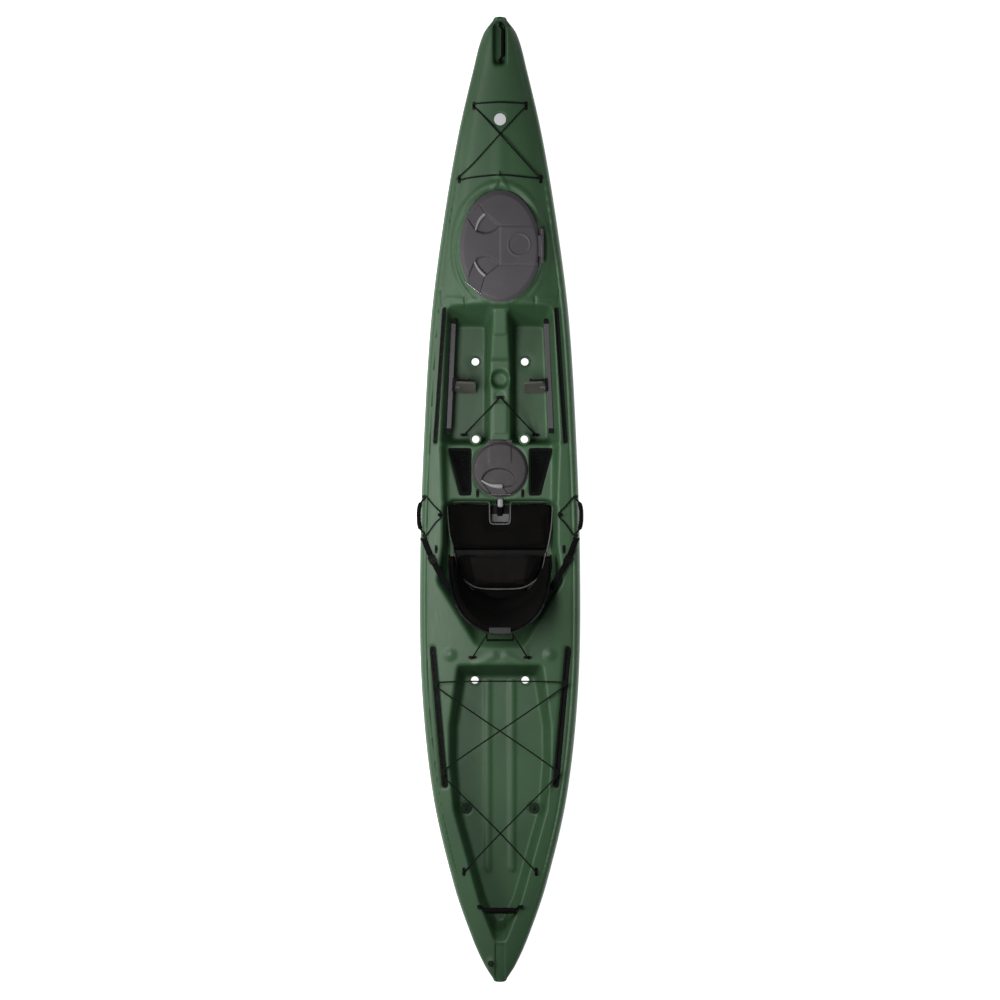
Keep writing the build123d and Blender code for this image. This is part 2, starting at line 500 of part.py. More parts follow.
def grip_between(start, end, pin_axis_y, pin_z, grip_y, grip_z, radius, ribs):
    """A carry grip along X with an eyelet at each end, hung on the pins of its anchors."""
    inset = 22
    grip = rod((start + inset, grip_y, grip_z), (end - inset, grip_y, grip_z), radius)
    step = (end - start - 2 * inset) / (ribs + 1)
    for count in range(1, ribs + 1):
        rib = Rot(0, 90, 0) * Cylinder(radius + 1, step * 0.55)
        grip = grip + Pos(start + inset + step * count, grip_y, grip_z) * rib
    straps = None
    for x, inward in ((start, 1), (end, -1)):
        eyelet = Pos(x + inward * 6, pin_axis_y, pin_z) * Rot(0, 90, 0) * Cylinder(6.5, 8)
        arm = rod((x + inward * 6, pin_axis_y, pin_z), (x + inward * (inset + 3), grip_y, grip_z), 5.5)
        bore = Pos(x, pin_axis_y, pin_z) * Rot(0, 90, 0) * Cylinder(3 + RUNNING, 60)
        end_piece = eyelet + arm - bore
        straps = end_piece if straps is None else straps + end_piece
    return grip, straps - grip


def handle_anchors(start, end, axis_y, pin_z, foot_z, half_width):
    anchors = []
    for x, inward in ((start, 1), (end, -1)):
        height = pin_z + 5 - foot_z
        block = Pos(x - inward * 5, axis_y, foot_z + height / 2) * Box(12, 2 * half_width, height)
        anchors.append(block + rod((x - inward * 2, axis_y, pin_z), (x + inward * 10.5, axis_y, pin_z), 3))
    return anchors[0] + anchors[1]


# ---- seat ----
SEAT_HINGE = (-434.0, 121.0)                          # recline pin x, z
THIGH_HINGE = (-232.0, 114.0)
CUSHION_TOP_Z = 152.0
BACK_BOTTOM_Z, BACK_TOP_Z = 122.0, 472.0
WRAP_POWER = 1.05                                     # how round the back is, seen from above
BACK_SIDE = [(-228, 204), (-330, 182), (-402, 168), (-410, 130), (-660, 130), (-660, 480), (-560, 470),
             (-500, 448), (-420, 388), (-340, 302), (-268, 250), (-228, 238)]


def wrap_curve(tip_x, depth, half_width):
    """A U seen from above, from the port wing tip round the back to the starboard one."""
    points = []
    for step in range(-6, 7):
        angle = math.radians(15 * step)
        across, along = math.sin(angle), math.cos(angle)
        points.append((tip_x - depth * along, math.copysign(half_width * abs(across) ** WRAP_POWER, -across)))
    return Spline(*points)


def wrap_face(z, tip_x, depth, half_width, skin, core):
    outer = wrap_curve(tip_x, depth - skin, half_width - skin)
    inner = wrap_curve(tip_x, depth - core, half_width - core)
    ends = [Line(outer @ 0, inner @ 0), Line(outer @ 1, inner @ 1)]
    return Pos(0, 0, z) * make_face([outer, inner] + ends)


def back_layer(skin, core):
    low = wrap_face(BACK_BOTTOM_Z, -226, 236, 217, skin, core)
    high = wrap_face(BACK_TOP_Z, -296, 298, 256, skin, core)
    return loft([low, high], ruled=True) & side_prism(BACK_SIDE, 300)


def make_seat():
    hinge_x, hinge_z = SEAT_HINGE
    thigh_x, thigh_z = THIGH_HINGE
    base = SEAT_FLOOR_Z
    pan_outline = mirrored([(-24, 208), (-300, 206), (-412, 108)])
    pan = prism(polygon(pan_outline, 24), base, base + 5)
    lug = Pos(hinge_x, 96, 0) * (Pos(0, 0, hinge_z) * Rot(90, 0, 0) * Cylinder(7, 8)
                                 + Pos(10, 0, base + 8) * Box(26, 8, 16))
    lug = lug - Pos(hinge_x, 96, hinge_z) * Rot(90, 0, 0) * Cylinder(3, 40)
    pan = pan + port_and_starboard(lug)
    cushion_outline = mirrored([(-240, 196), (-300, 186), (-368, 148), (-390, 84)])
    cushion = prism(polygon(cushion_outline, 14), base + 5.5, CUSHION_TOP_Z)
    notch = Pos(-40, 0, 0) * prism(RectangleRounded(132, 90, 14), base, 400)
    thigh_outline = mirrored([(-16, 190), (-46, 228), (-150, 229), (-230, 205)])
    thigh = prism(polygon(thigh_outline, 12), base + 5.5, CUSHION_TOP_Z + 2) - notch
    wedge = side_prism([(thigh_x + 1, base), (thigh_x + 1, thigh_z), (thigh_x + 19, 170), (thigh_x - 30, 170),
                        (thigh_x - 30, base)], 300)
    thigh = thigh - wedge
    pad, shell = back_layer(6.3, 34), back_layer(0, 6)
    ear = Pos(hinge_x, 108, hinge_z) * Rot(90, 0, 0) * Cylinder(6, 7.6)
    ear = ear + Pos(hinge_x + 1, 108, hinge_z + 10) * Box(11, 7.6, 20)
    ear = ear - Pos(hinge_x, 108, hinge_z) * Rot(90, 0, 0) * Cylinder(3 + RUNNING, 40)
    ears = port_and_starboard(ear)
    pins = port_and_starboard(rod((hinge_x, 91.8, hinge_z), (hinge_x, 114, hinge_z), 3))
    bar = rod((-590, 58, 446), (-618, 58, 446), 4) + rod((-618, 58, 446), (-618, -58, 446), 5) + rod(
        (-618, -58, 446), (-590, -58, 446), 4)
    return {"seat_pan": pan, "seat_cushion": cushion, "thigh_support": thigh, "seat_back_pad": pad,
            "seat_back_shell": shell + ears, "seat_recline_pins": pins, "seat_back_loop": bar - shell}


# ---- straps, pockets and small parts ----
BACK_STRAP = [(-171, 338, 256.5), (-240, 312, 268), (-318, 273, 284), (-394, 224, 302)]
THIGH_STRAP = [(7, 0, 201.4), (-5, 0, 201.2), (-26, 0, 152), (-66, 0, 114.5), (-100, 0, 111.8)]
WEBBING = (25.0, 2.4)


def webbing(points, width, thickness):
    """Flat strap: one slab for each straight run, with round joints between them."""
    strap = None
    for start, end in zip(points, points[1:]):
        start, end = Vector(*start), Vector(*end)
        run = end - start
        across = Vector(-run.Y, run.X, 0).normalized()
        plane = Plane(origin=(start + end) / 2, x_dir=run, z_dir=run.cross(across))
        slab = plane.location * Box(run.length, width, thickness)
        joint = Plane(origin=end, z_dir=across).location * Cylinder(thickness / 2, width)
        strap = slab + joint if strap is None else strap + slab + joint
    return strap


def strap_buckle(start, end, width):
    start, end = Vector(*start), Vector(*end)
    run = end - start
    across = Vector(-run.Y, run.X, 0).normalized()
    plane = Plane(origin=start + run * 0.3, x_dir=run, z_dir=run.cross(across))
    frame = Box(34, width + 9, 6) - Box(40, width + 1, 2.8)
    return plane.location * (frame - [Pos(x, 0, 0) * Box(6, width - 4, 12) for x in (-9, 9)])


def mesh_pocket(side):
    outline = [(x, side * y) for x, y in [(230, 128.5), (230, 233), (20, 180), (20, 128.5)]]
    inner = [(x, side * y) for x, y in [(218, 138), (218, 222), (34, 168), (34, 138)]]
    panel = prism(polygon(outline, 8), CONSOLE_Z + 0.2, CONSOLE_Z + 2.2)
    rim = prism(polygon(outline, 8), CONSOLE_Z + 0.2, CONSOLE_Z + 5) - prism(polygon(inner, 5), 0, 400)
    return panel - rim, rim


def make_badge():
    return Pos(1682, 0, 0) * (prism(Circle(26.5), 356.5, 361.5) - ring(Circle(23), Circle(20.5), 361, 362))


def make_drain_plug():
    place = Pos(*DRAIN_PLUG)
    seat = place * (ring(Circle(15), Circle(7), -3, 3) + ring(Circle(DRAIN_NECK_R), Circle(7), -14, -2))
    knob = prism(Circle(12), 3.2, 9) + Pos(0, 0, 11) * Box(20, 5, 6) + prism(Circle(7 - RUNNING), -12, 3.5)
    knob = knob - [Rot(0, 0, 30 * turn) * Pos(12.6, 0, 6) * Cylinder(1.6, 20) for turn in range(12)]
    return place * knob, seat


def make_scupper_plugs():
    x, y, floor_z = SCUPPERS[-1]
    plug = prism(Circle(SCUPPER_R - 0.05), floor_z - 24, floor_z + 1)
    plug = plug + prism(Circle(24), floor_z + 0.1, floor_z + 4)
    tab = Pos(0, 0, floor_z + 4) * Rot(90, 0, 0) * Cylinder(10, 5)
    tab = tab - Pos(0, 0, floor_z + 6) * Rot(90, 0, 0) * Cylinder(5, 9)
    tab = tab & Pos(0, 0, floor_z + 12) * Box(40, 40, 18)
    return port_and_starboard(Pos(x, y, 0) * (plug + tab))


def strap_anchor(side):
    x, y, z = BACK_STRAP[0]
    return Pos(x, side * y, z - 5) * Rot(0, 0, side * 18) * Box(12, 32, 13)


# ---- the whole boat ----
def group(solids):
    """Several identical pieces that are not joined, kept as one sub-part."""
    return Part(children=[]) + list(solids)


def fitting_parts():
    places = [place for name in PADEYES for place in padeye_places(name)]
    parts = {"padeyes": group(place * padeye() for place in places),
             "padeye_screws": group(place * screw for place in places for screw in padeye_screws())}
    screws = []
    for name in RAILS:
        left, right, rail_screws = rail_and_screws(name)
        parts[f"rails_{name}"] = group([left, right])
        screws.append(rail_screws)
    parts["rail_screws"] = group(screws)
    parts["rail_sliders"] = group(rail_slider(fraction) for fraction in SLIDER_FRACTIONS)
    parts["keeper_posts"] = keeper_post()
    parts["bow_badge"] = make_badge()
    parts["scupper_plugs"] = make_scupper_plugs()
    parts["drain_plug"], parts["drain_plug_seat"] = make_drain_plug()
    return parts


def soft_parts():
    pockets = [mesh_pocket(side) for side in (1, -1)]
    return {
        "bungee_bow": cord(BOW_CORD) + knot(1414, -190, 314),
        "bungee_cockpit": cord(COCKPIT_CORD),
        "bungee_tankwell": cord(TANKWELL_CORD),
        "bungee_backs": port_and_starboard(cord(BACK_CORD)),
        "bungee_keepers": port_and_starboard(cord(KEEPER_CORD)),
        "seat_strap_left": webbing(BACK_STRAP, *WEBBING),
        "seat_strap_right": mirror(webbing(BACK_STRAP, *WEBBING), about=Plane.XZ),
        "strap_buckles": port_and_starboard(strap_buckle(BACK_STRAP[1], BACK_STRAP[2], WEBBING[0]))
        + strap_buckle(THIGH_STRAP[1], THIGH_STRAP[2], WEBBING[0]),
        "thigh_strap": webbing(THIGH_STRAP, *WEBBING),
        "mesh_pockets": group(panel for panel, rim in pockets),
        "mesh_pocket_rims": group(rim for panel, rim in pockets),
    }


def handle_parts():
    start, end, pin_z = BOW_HANDLE
    grip, strap = grip_between(start, end, 0, pin_z, -13, pin_z, 8, 7)
    parts = {"bow_handle_grip": grip, "bow_handle_strap": strap}
    anchors = [handle_anchors(start, end, 0, pin_z, BOW_SLOT[3] - 0.5, 6)]

    start, end, pin_y, pin_z = SIDE_HANDLE
    grip, strap = grip_between(start, end, pin_y, pin_z, pin_y + 21.5, pin_z - 8, 9.5, 11)
    parts.update(side_handle_grip_left=grip, side_handle_strap_left=strap,
                 side_handle_grip_right=mirror(grip, about=Plane.XZ),
                 side_handle_strap_right=mirror(strap, about=Plane.XZ))
    anchors.append(port_and_starboard(handle_anchors(start, end, pin_y, pin_z, pin_z - 15, 8)))
    anchors.append(port_and_starboard(strap_anchor(1)))

    pin_x, pin_z, reach = STERN_HANDLE
    across = Pos(pin_x, 0, 0) * Rot(0, 0, 90)
    grip, strap = grip_between(-reach, reach, 0, pin_z, 18, pin_z, 13, 2)
    parts.update(stern_handle_grip=across * grip, stern_handle_strap=across * strap)
    anchors.append(across * handle_anchors(-reach, reach, 0, pin_z, pin_z - 15, 7))
    parts["handle_anchors"] = group(anchors)
    return parts


def foot_parts():
    pieces = ("foot_track", "foot_carriage", "foot_pedal", "foot_trigger")
    return {f"{piece}_{side}": solid for side, sign in (("left", 1), ("right", -1))
            for piece, solid in zip(pieces, make_foot_brace(sign))}


os.makedirs("parts", exist_ok=True)
PARTS = {"hull": make_hull()}
for section in (fitting_parts, make_bow_hatch, make_mid_hatch, soft_parts, make_seat, handle_parts,
                foot_parts):
    PARTS.update(section())
for node, solid in PARTS.items():
    export_step(solid, f"parts/{node}.step")
    print(f"{node}: {len(solid.solids())} solids, {solid.volume / 1000:.1f} cm3")
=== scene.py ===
import json
import math

import bpy
import numpy as np
from mathutils import Euler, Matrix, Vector
from mathutils.bvhtree import BVHTree


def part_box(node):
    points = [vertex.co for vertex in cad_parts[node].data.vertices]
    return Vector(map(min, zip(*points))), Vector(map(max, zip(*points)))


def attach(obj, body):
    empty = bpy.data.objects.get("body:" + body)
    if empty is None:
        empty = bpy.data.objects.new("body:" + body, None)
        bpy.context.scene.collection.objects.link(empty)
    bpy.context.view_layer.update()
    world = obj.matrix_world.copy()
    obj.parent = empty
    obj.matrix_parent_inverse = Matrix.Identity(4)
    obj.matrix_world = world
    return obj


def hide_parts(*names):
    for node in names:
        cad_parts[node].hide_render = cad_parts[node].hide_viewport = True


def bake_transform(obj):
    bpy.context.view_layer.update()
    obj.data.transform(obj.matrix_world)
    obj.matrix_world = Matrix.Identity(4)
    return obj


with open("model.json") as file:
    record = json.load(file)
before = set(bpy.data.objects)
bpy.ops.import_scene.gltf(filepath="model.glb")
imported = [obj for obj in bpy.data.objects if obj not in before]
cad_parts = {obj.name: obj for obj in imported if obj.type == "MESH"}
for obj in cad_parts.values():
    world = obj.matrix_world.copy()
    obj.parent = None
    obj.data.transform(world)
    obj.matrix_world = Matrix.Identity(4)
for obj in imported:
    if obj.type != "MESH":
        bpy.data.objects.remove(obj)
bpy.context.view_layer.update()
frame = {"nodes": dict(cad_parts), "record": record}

# The looks of a sit-on-top touring kayak. Metres; +X towards the bow, +Y to port, +Z up.
NODES = frame["nodes"]
SIDES = (("left", 1), ("right", -1))


# ---- camera, light and floor ----
VIEW_WIDTH, DECK_HEIGHT, CAMERA_HEIGHT = 4.425, 0.30, 40.0


def make_camera():
    data = bpy.data.cameras.new("camera")
    data.sensor_width = 36.0
    data.lens = data.sensor_width * (CAMERA_HEIGHT - DECK_HEIGHT) / VIEW_WIDTH
    data.clip_end = 100.0
    camera = bpy.data.objects.new("camera", data)
    camera.location = (0, 0, CAMERA_HEIGHT)
    camera.rotation_euler = Euler((0, 0, -math.pi / 2))
    bpy.context.collection.objects.link(camera)
    bpy.context.scene.camera = camera


def area_light(name, place, target, size, power, colour=(1, 1, 1)):
    data = bpy.data.lights.new(name, "AREA")
    data.shape, data.size, data.size_y = "RECTANGLE", size[0], size[1]
    data.energy, data.color = power, colour
    light = bpy.data.objects.new(name, data)
    light.location = place
    light.rotation_euler = (Vector(target) - Vector(place)).to_track_quat("-Z", "Y").to_euler()
    bpy.context.collection.objects.link(light)


def make_lights():
    area_light("key", (0.3, 4.4, 4.2), (0, 0, 0.2), (4.0, 1.8), 160, (1.0, 0.995, 0.98))
    area_light("fill", (-1.0, -4.5, 3.6), (0, 0, 0.2), (5.0, 2.5), 4, (0.93, 0.97, 1.0))
    area_light("top", (-0.1, 0.75, 2.6), (-0.1, 0, 0.2), (1.9, 0.6), 45)
    world = bpy.data.worlds.new("studio")
    world.use_nodes = True
    background = world.node_tree.nodes["Background"]
    background.inputs["Color"].default_value = (0.93, 0.96, 1.0, 1)
    background.inputs["Strength"].default_value = 0.15
    bpy.context.scene.world = world
    bpy.context.scene.view_settings.view_transform = "Standard"


# ---- materials ----
class Nodes:
    """A material's node tree, with short calls for the nodes that the finishes are made from."""

    def __init__(self, name):
        self.material = bpy.data.materials.new(name)
        self.material.use_nodes = True
        self.tree = self.material.node_tree
        self.shader = self.tree.nodes["Principled BSDF"]
        self.place = self.tree.nodes.new("ShaderNodeTexCoord").outputs["Object"]

    def add(self, kind, inputs=None, **settings):
        node = self.tree.nodes.new(kind)
        for name, value in settings.items():
            setattr(node, name, value)
        for name, value in (inputs or {}).items():
            self.feed(node.inputs[name], value)
        return node

    def feed(self, socket, value):
        if isinstance(value, bpy.types.NodeSocket):
            self.tree.links.new(value, socket)
        else:
            socket.default_value = value

    def noise(self, scale, detail=3.0, roughness=0.55, place=None):
        return self.add("ShaderNodeTexNoise", {
            "Vector": place or self.place, "Scale": scale, "Detail": detail,
            "Roughness": roughness}).outputs["Fac"]

    def stretched(self, scale):
        return self.add("ShaderNodeMapping", {"Vector": self.place, "Scale": scale}).outputs["Vector"]

    def spread(self, value, low, high, out_low, out_high):
        return self.add("ShaderNodeMapRange", {"Value": value, "From Min": low, "From Max": high,
                                               "To Min": out_low, "To Max": out_high}).outputs["Result"]

    def maths(self, operation, a, b=0.0):
        node = self.add("ShaderNodeMath", operation=operation)
        self.feed(node.inputs[0], a)
        self.feed(node.inputs[1], b)
        return node.outputs[0]

    def mix(self, amount, a, b):
        node = self.add("ShaderNodeMix", data_type="RGBA")
        self.feed(node.inputs["Factor"], amount)
        self.feed(node.inputs[6], a if isinstance(a, bpy.types.NodeSocket) else (*a, 1))
        self.feed(node.inputs[7], b if isinstance(b, bpy.types.NodeSocket) else (*b, 1))
        return node.outputs[2]

    def bump(self, height, distance, strength=1.0, under=None):
        inputs = {"Height": height, "Distance": distance, "Strength": strength}
        if under is not None:
            inputs["Normal"] = under
        return self.add("ShaderNodeBump", inputs).outputs["Normal"]

    def surface(self, **sockets):
        for name, value in sockets.items():
            name = name.replace("_", " ")
            if isinstance(value, tuple):
                value = (*value, 1)
            self.feed(self.shader.inputs[name], value)
        return self.material


def shade(colour, factor):
    return tuple(min(1.0, c * factor) for c in colour)


def moulded(name, colour, roughness=0.5, grain=900.0, depth=0.00015, variation=0.18, gloss=0.3):
    """Moulded plastic or rubber: cloudy shade, fine grain and a few fine scuffs."""
    n = Nodes(name)
    clouds = n.noise(6.0, 4.0)
    base = n.mix(n.spread(clouds, 0.3, 0.7, 0.0, 1.0), shade(colour, 1 - variation),
                 shade(colour, 1 + variation))
    scuffs = n.noise(70.0, 6.0, 0.75, n.stretched((0.6, 6.0, 1.0)))
    base = n.mix(n.spread(scuffs, 0.66, 0.8, 0.0, 0.35), base, shade(colour, 1.9))
    fine = n.noise(grain, 2.0)
    rough = n.spread(n.noise(35.0, 3.0), 0.3, 0.7, roughness - 0.07, roughness + 0.07)
    return n.surface(Base_Color=base, Roughness=rough, Normal=n.bump(fine, depth), Specular_IOR_Level=gloss)


def polyethylene():
    """Rotomoulded hull plastic: waxy sheen, slight orange peel, drag scratches along the boat."""
    n = Nodes("hull_plastic")
    green = (0.038, 0.090, 0.040)
    clouds = n.noise(2.2, 4.0)
    base = n.mix(n.spread(clouds, 0.3, 0.7, 0.0, 1.0), shade(green, 0.9), shade(green, 1.1))
    flecks = n.spread(n.noise(420.0, 2.0), 0.62, 0.75, 0.0, 0.35)
    base = n.mix(flecks, base, shade(green, 1.5))
    edge = n.spread(n.add("ShaderNodeNewGeometry").outputs["Pointiness"], 0.515, 0.6, 0.0, 0.35)
    base = n.mix(edge, base, shade(green, 1.6))
    scratches = n.noise(26.0, 6.0, 0.7, n.stretched((0.5, 14.0, 14.0)))
    peel = n.bump(n.noise(240.0, 2.0), 0.0006, 0.35)
    normal = n.bump(scratches, 0.0005, 0.22, peel)
    rough = n.spread(scratches, 0.35, 0.7, 0.4, 0.56)
    return n.surface(Base_Color=base, Roughness=rough, Normal=normal, Specular_IOR_Level=0.35,
                     Coat_Weight=0.05, Coat_Roughness=0.35)


def brushed(name, colour, roughness, metal=1.0):
    n = Nodes(name)
    lines = n.noise(180.0, 4.0, 0.6, n.stretched((1.0, 9.0, 1.0)))
    base = n.mix(lines, shade(colour, 0.8), colour)
    rough = n.spread(lines, 0.3, 0.7, roughness - 0.08, roughness + 0.1)
    return n.surface(Base_Color=base, Roughness=rough, Metallic=metal, Normal=n.bump(lines, 0.0001))


def stripes(n, coordinate, count):
    """A 0 to 1 wave, count times per unit of the coordinate."""
    wave = n.maths("SINE", n.maths("MULTIPLY", coordinate, 2 * math.pi * count))
    return n.spread(wave, -1.0, 1.0, 0.0, 1.0)


def woven(name, colour, pitch, roughness=0.85, second=None, use_uv=False, sheen=0.0):
    """Cloth: warp and weft at the given pitch in metres, from the mesh's own place or its UVs."""
    n = Nodes(name)
    place = n.add("ShaderNodeTexCoord").outputs["UV"] if use_uv else n.place
    axes = n.add("ShaderNodeSeparateXYZ", {"Vector": place})
    warp = stripes(n, axes.outputs["X"], 1 / pitch)
    weft = stripes(n, axes.outputs["Y"], 1 / pitch)
    threads = n.maths("MULTIPLY", warp, weft)
    height = n.maths("ADD", n.maths("MAXIMUM", warp, weft), n.noise(700.0, 2.0))
    base = n.mix(threads, shade(colour, 0.7), second or shade(colour, 1.5))
    base = n.mix(n.spread(n.noise(9.0, 4.0), 0.35, 0.7, 0.0, 0.5), base, shade(colour, 1.9))
    return n.surface(Base_Color=base, Roughness=roughness, Normal=n.bump(height, 0.0004, 0.7),
                     Sheen_Weight=sheen, Sheen_Roughness=0.5, Specular_IOR_Level=0.06)


def braided(name, colour, tracer):
    """A shock cord's sheath: two sets of strands that wind opposite ways, with a few tracer threads."""
    n = Nodes(name)
    axes = n.add("ShaderNodeSeparateXYZ", {"Vector": n.add("ShaderNodeTexCoord").outputs["UV"]})
    round_it, along = axes.outputs["X"], axes.outputs["Y"]
    one = stripes(n, n.maths("ADD", n.maths("MULTIPLY", along, 130.0),
                             n.maths("MULTIPLY", round_it, 4.0)), 1.0)
    two = stripes(n, n.maths("SUBTRACT", n.maths("MULTIPLY", along, 130.0),
                             n.maths("MULTIPLY", round_it, 4.0)), 1.0)
    strands = n.maths("MAXIMUM", one, two)
    spots = n.spread(n.maths("MULTIPLY", one, two), 0.8, 0.95, 0.0, 0.55)
    base = n.mix(strands, shade(colour, 0.6), shade(colour, 1.4))
    base = n.mix(spots, base, tracer)
    return n.surface(Base_Color=base, Roughness=0.7, Normal=n.bump(strands, 0.0006, 0.8),
                     Specular_IOR_Level=0.15)


def make_materials():
    return {
        "hull_plastic": polyethylene(),
        "hatch_plastic": moulded("hatch_plastic", (0.068, 0.063, 0.070), 0.5, 700, 0.0003, 0.1),
        "latch_plastic": moulded("latch_plastic", (0.062, 0.058, 0.064), 0.45, 700, 0.0001, 0.08),
        "latch_bar": moulded("latch_bar", (0.25, 0.245, 0.255), 0.35, 700, 0.0001, 0.08),
        "mid_lid": moulded("mid_lid", (0.042, 0.038, 0.040), 0.5, 700, 0.0003, 0.1),
        "black_plastic": moulded("black_plastic", (0.0040, 0.0040, 0.0043), 0.5, 800, 0.00012, 0.25, 0.09),
        "black_rubber": moulded("black_rubber", (0.0036, 0.0035, 0.0036), 0.68, 600, 0.0003, 0.2, 0.07),
        "plug_rubber": moulded("plug_rubber", (0.011, 0.024, 0.013), 0.62, 600, 0.0003, 0.2, 0.15),
        "track_plastic": moulded("track_plastic", (0.075, 0.068, 0.078), 0.42, 900, 0.0001, 0.12),
        "pedal_plastic": moulded("pedal_plastic", (0.105, 0.10, 0.088), 0.6, 500, 0.0004, 0.2),
        "badge_metal": brushed("badge_metal", (0.85, 0.86, 0.87), 0.35, 0.15),
        "steel": brushed("steel", (0.40, 0.40, 0.41), 0.34),
        "dark_steel": brushed("dark_steel", (0.02, 0.02, 0.021), 0.4),
        "shock_cord": braided("shock_cord", (0.0035, 0.006, 0.0045), (0.016, 0.030, 0.018)),
        "webbing": woven("webbing", (0.0035, 0.0035, 0.004), 0.0024, use_uv=True),
        "mesh_fabric": woven("mesh_fabric", (0.004, 0.0042, 0.0043), 0.0016),
        "seat_fabric": woven("seat_fabric", (0.0032, 0.0028, 0.0026), 0.0022),
        "seat_panel": woven("seat_panel", (0.0075, 0.0066, 0.0062), 0.0048, 0.9),
        "piping": woven("piping", (0.11, 0.112, 0.108), 0.0022, 0.75),
        "grey_patch": moulded("grey_patch", (0.095, 0.098, 0.098), 0.55, 700, 0.0002, 0.1),
        "back_patch": moulded("back_patch", (0.016, 0.016, 0.017), 0.55, 700, 0.0002, 0.1),
        # dark grey for the tube on the backrest's top rim: painted highlight of the rim
        "back_rim_painted_highlight": woven("back_rim_painted_highlight", (0.016, 0.016, 0.017), 0.0022, 0.75),
    }


def make_floor(material_colour=(0.9, 0.9, 0.9)):
    """A pale floor that also gives a little light of its own, as a photographer's light table does."""
    n = Nodes("floor")
    n.surface(Base_Color=material_colour, Roughness=0.8, Emission_Color=(1, 1, 1), Emission_Strength=1.0)
    n.feed(n.shader.inputs["Base Color"], n.mix(n.noise(3.0), shade(material_colour, 0.98), material_colour))
    half = 30.0
    floor = link_mesh("floor", [(-half, -half, 0), (half, -half, 0), (half, half, 0), (-half, half, 0)],
                      [(0, 1, 2, 3)], n.material)
    floor.location.z = -0.0005


# ---- mesh helpers ----
def link_mesh(name, points, faces, material, uvs=None):
    mesh = bpy.data.meshes.new(name)
    mesh.from_pydata([tuple(map(float, p)) for p in points], [], faces)
    mesh.materials.append(material)
    if uvs is not None:
        layer = mesh.uv_layers.new(name="UVMap")
        index = np.zeros(len(mesh.loops), np.int32)
        mesh.loops.foreach_get("vertex_index", index)
        layer.data.foreach_set("uv", np.asarray(uvs, np.float32)[index].ravel())
    mesh.shade_smooth()
    piece = bpy.data.objects.new(name, mesh)
    bpy.context.collection.objects.link(piece)
    return piece


def settle(piece, body, replaced=()):
    """The piece rides on its body and stands for CAD nodes, which it hides."""
    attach(piece, body)
    if replaced:
        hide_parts(*replaced)
    return piece


def grid_faces(rows, columns, round_rows=False, round_columns=False):
    """Quads of a grid of points that is numbered row by row."""
    faces = []
    for i in range(rows if round_rows else rows - 1):
        a, b = i * columns, ((i + 1) % rows) * columns
        for j in range(columns if round_columns else columns - 1):
            k = (j + 1) % columns
            faces.append((a + j, a + k, b + k, b + j))
    return faces


def lathe(name, centre, profile, material, steps=48):
    """A turned form about a vertical axis; the profile is (radius, height) from outside to inside."""
    points = [(centre[0] + r * math.cos(2 * math.pi * s / steps),
               centre[1] + r * math.sin(2 * math.pi * s / steps), z)
              for s in range(steps) for r, z in profile]
    return link_mesh(name, points, grid_faces(steps, len(profile), round_rows=True), material)


def smoothstep(value):
    value = np.clip(value, 0.0, 1.0)
    return value * value * (3 - 2 * value)


def caster(node):
    mesh = NODES[node].data
    mesh.calc_loop_triangles()
    return BVHTree.FromPolygons([v.co for v in mesh.vertices], [t.vertices for t in mesh.loop_triangles])


def hit(tree, start, direction, default=None):
    found = tree.ray_cast(Vector(start), Vector(direction))[0]
    return found if found is not None else default


class HeightMap:
    """Heights of a CAD node's upper side on an even raster, which can be softened like a moulding."""

    def __init__(self, tree, low, high, step):
        self.low, self.step = low, step
        self.shape = (int((high[0] - low[0]) / step) + 2, int((high[1] - low[1]) / step) + 2)
        self.height = np.zeros(self.shape)
        top, down = high[2] + 1.0, Vector((0, 0, -1))
        for i in range(self.shape[0]):
            x = low[0] + i * step
            for j in range(self.shape[1]):
                found = tree.ray_cast(Vector((x, low[1] + j * step, top)), down)[0]
                self.height[i, j] = found.z if found is not None else np.nan
        self.known = ~np.isnan(self.height)
        self.height = np.nan_to_num(self.height)
        self.x = (low[0] + step * np.arange(self.shape[0]))[:, None]
        self.y = (low[1] + step * np.arange(self.shape[1]))[None, :]

    def fill(self, inside, value):
        self.height = np.where(inside, value, self.height)
        self.known |= inside

    def fill_disc(self, centre, radius):
        """Closes a hole with the height of the surface round it."""
        away = np.hypot(self.x - centre[0], self.y - centre[1])
        round_it = (away > radius) & (away < radius + 0.006) & self.known
        self.fill(away <= radius, float(np.median(self.height[round_it])))

    def soften(self, sigma):
        reach = int(3 * sigma / self.step) + 1
        kernel = np.exp(-0.5 * (np.arange(-reach, reach + 1) * self.step / sigma) ** 2)
        kernel /= kernel.sum()

        def blurred(field):
            for axis in (0, 1):
                field = np.apply_along_axis(lambda line: np.convolve(line, kernel, "same"), axis, field)
            return field

        self.height = blurred(self.height * self.known) / np.maximum(blurred(self.known * 1.0), 1e-6)

    def at(self, x, y):
        """Heights between the raster's points."""
        u = np.clip((x - self.low[0]) / self.step, 0, self.shape[0] - 1.001)
        v = np.clip((y - self.low[1]) / self.step, 0, self.shape[1] - 1.001)
        i, j = u.astype(int), v.astype(int)
        u, v, h = u - i, v - j, self.height
        return ((h[i, j] * (1 - u) + h[i + 1, j] * u) * (1 - v)
                + (h[i, j + 1] * (1 - u) + h[i + 1, j + 1] * u) * v)


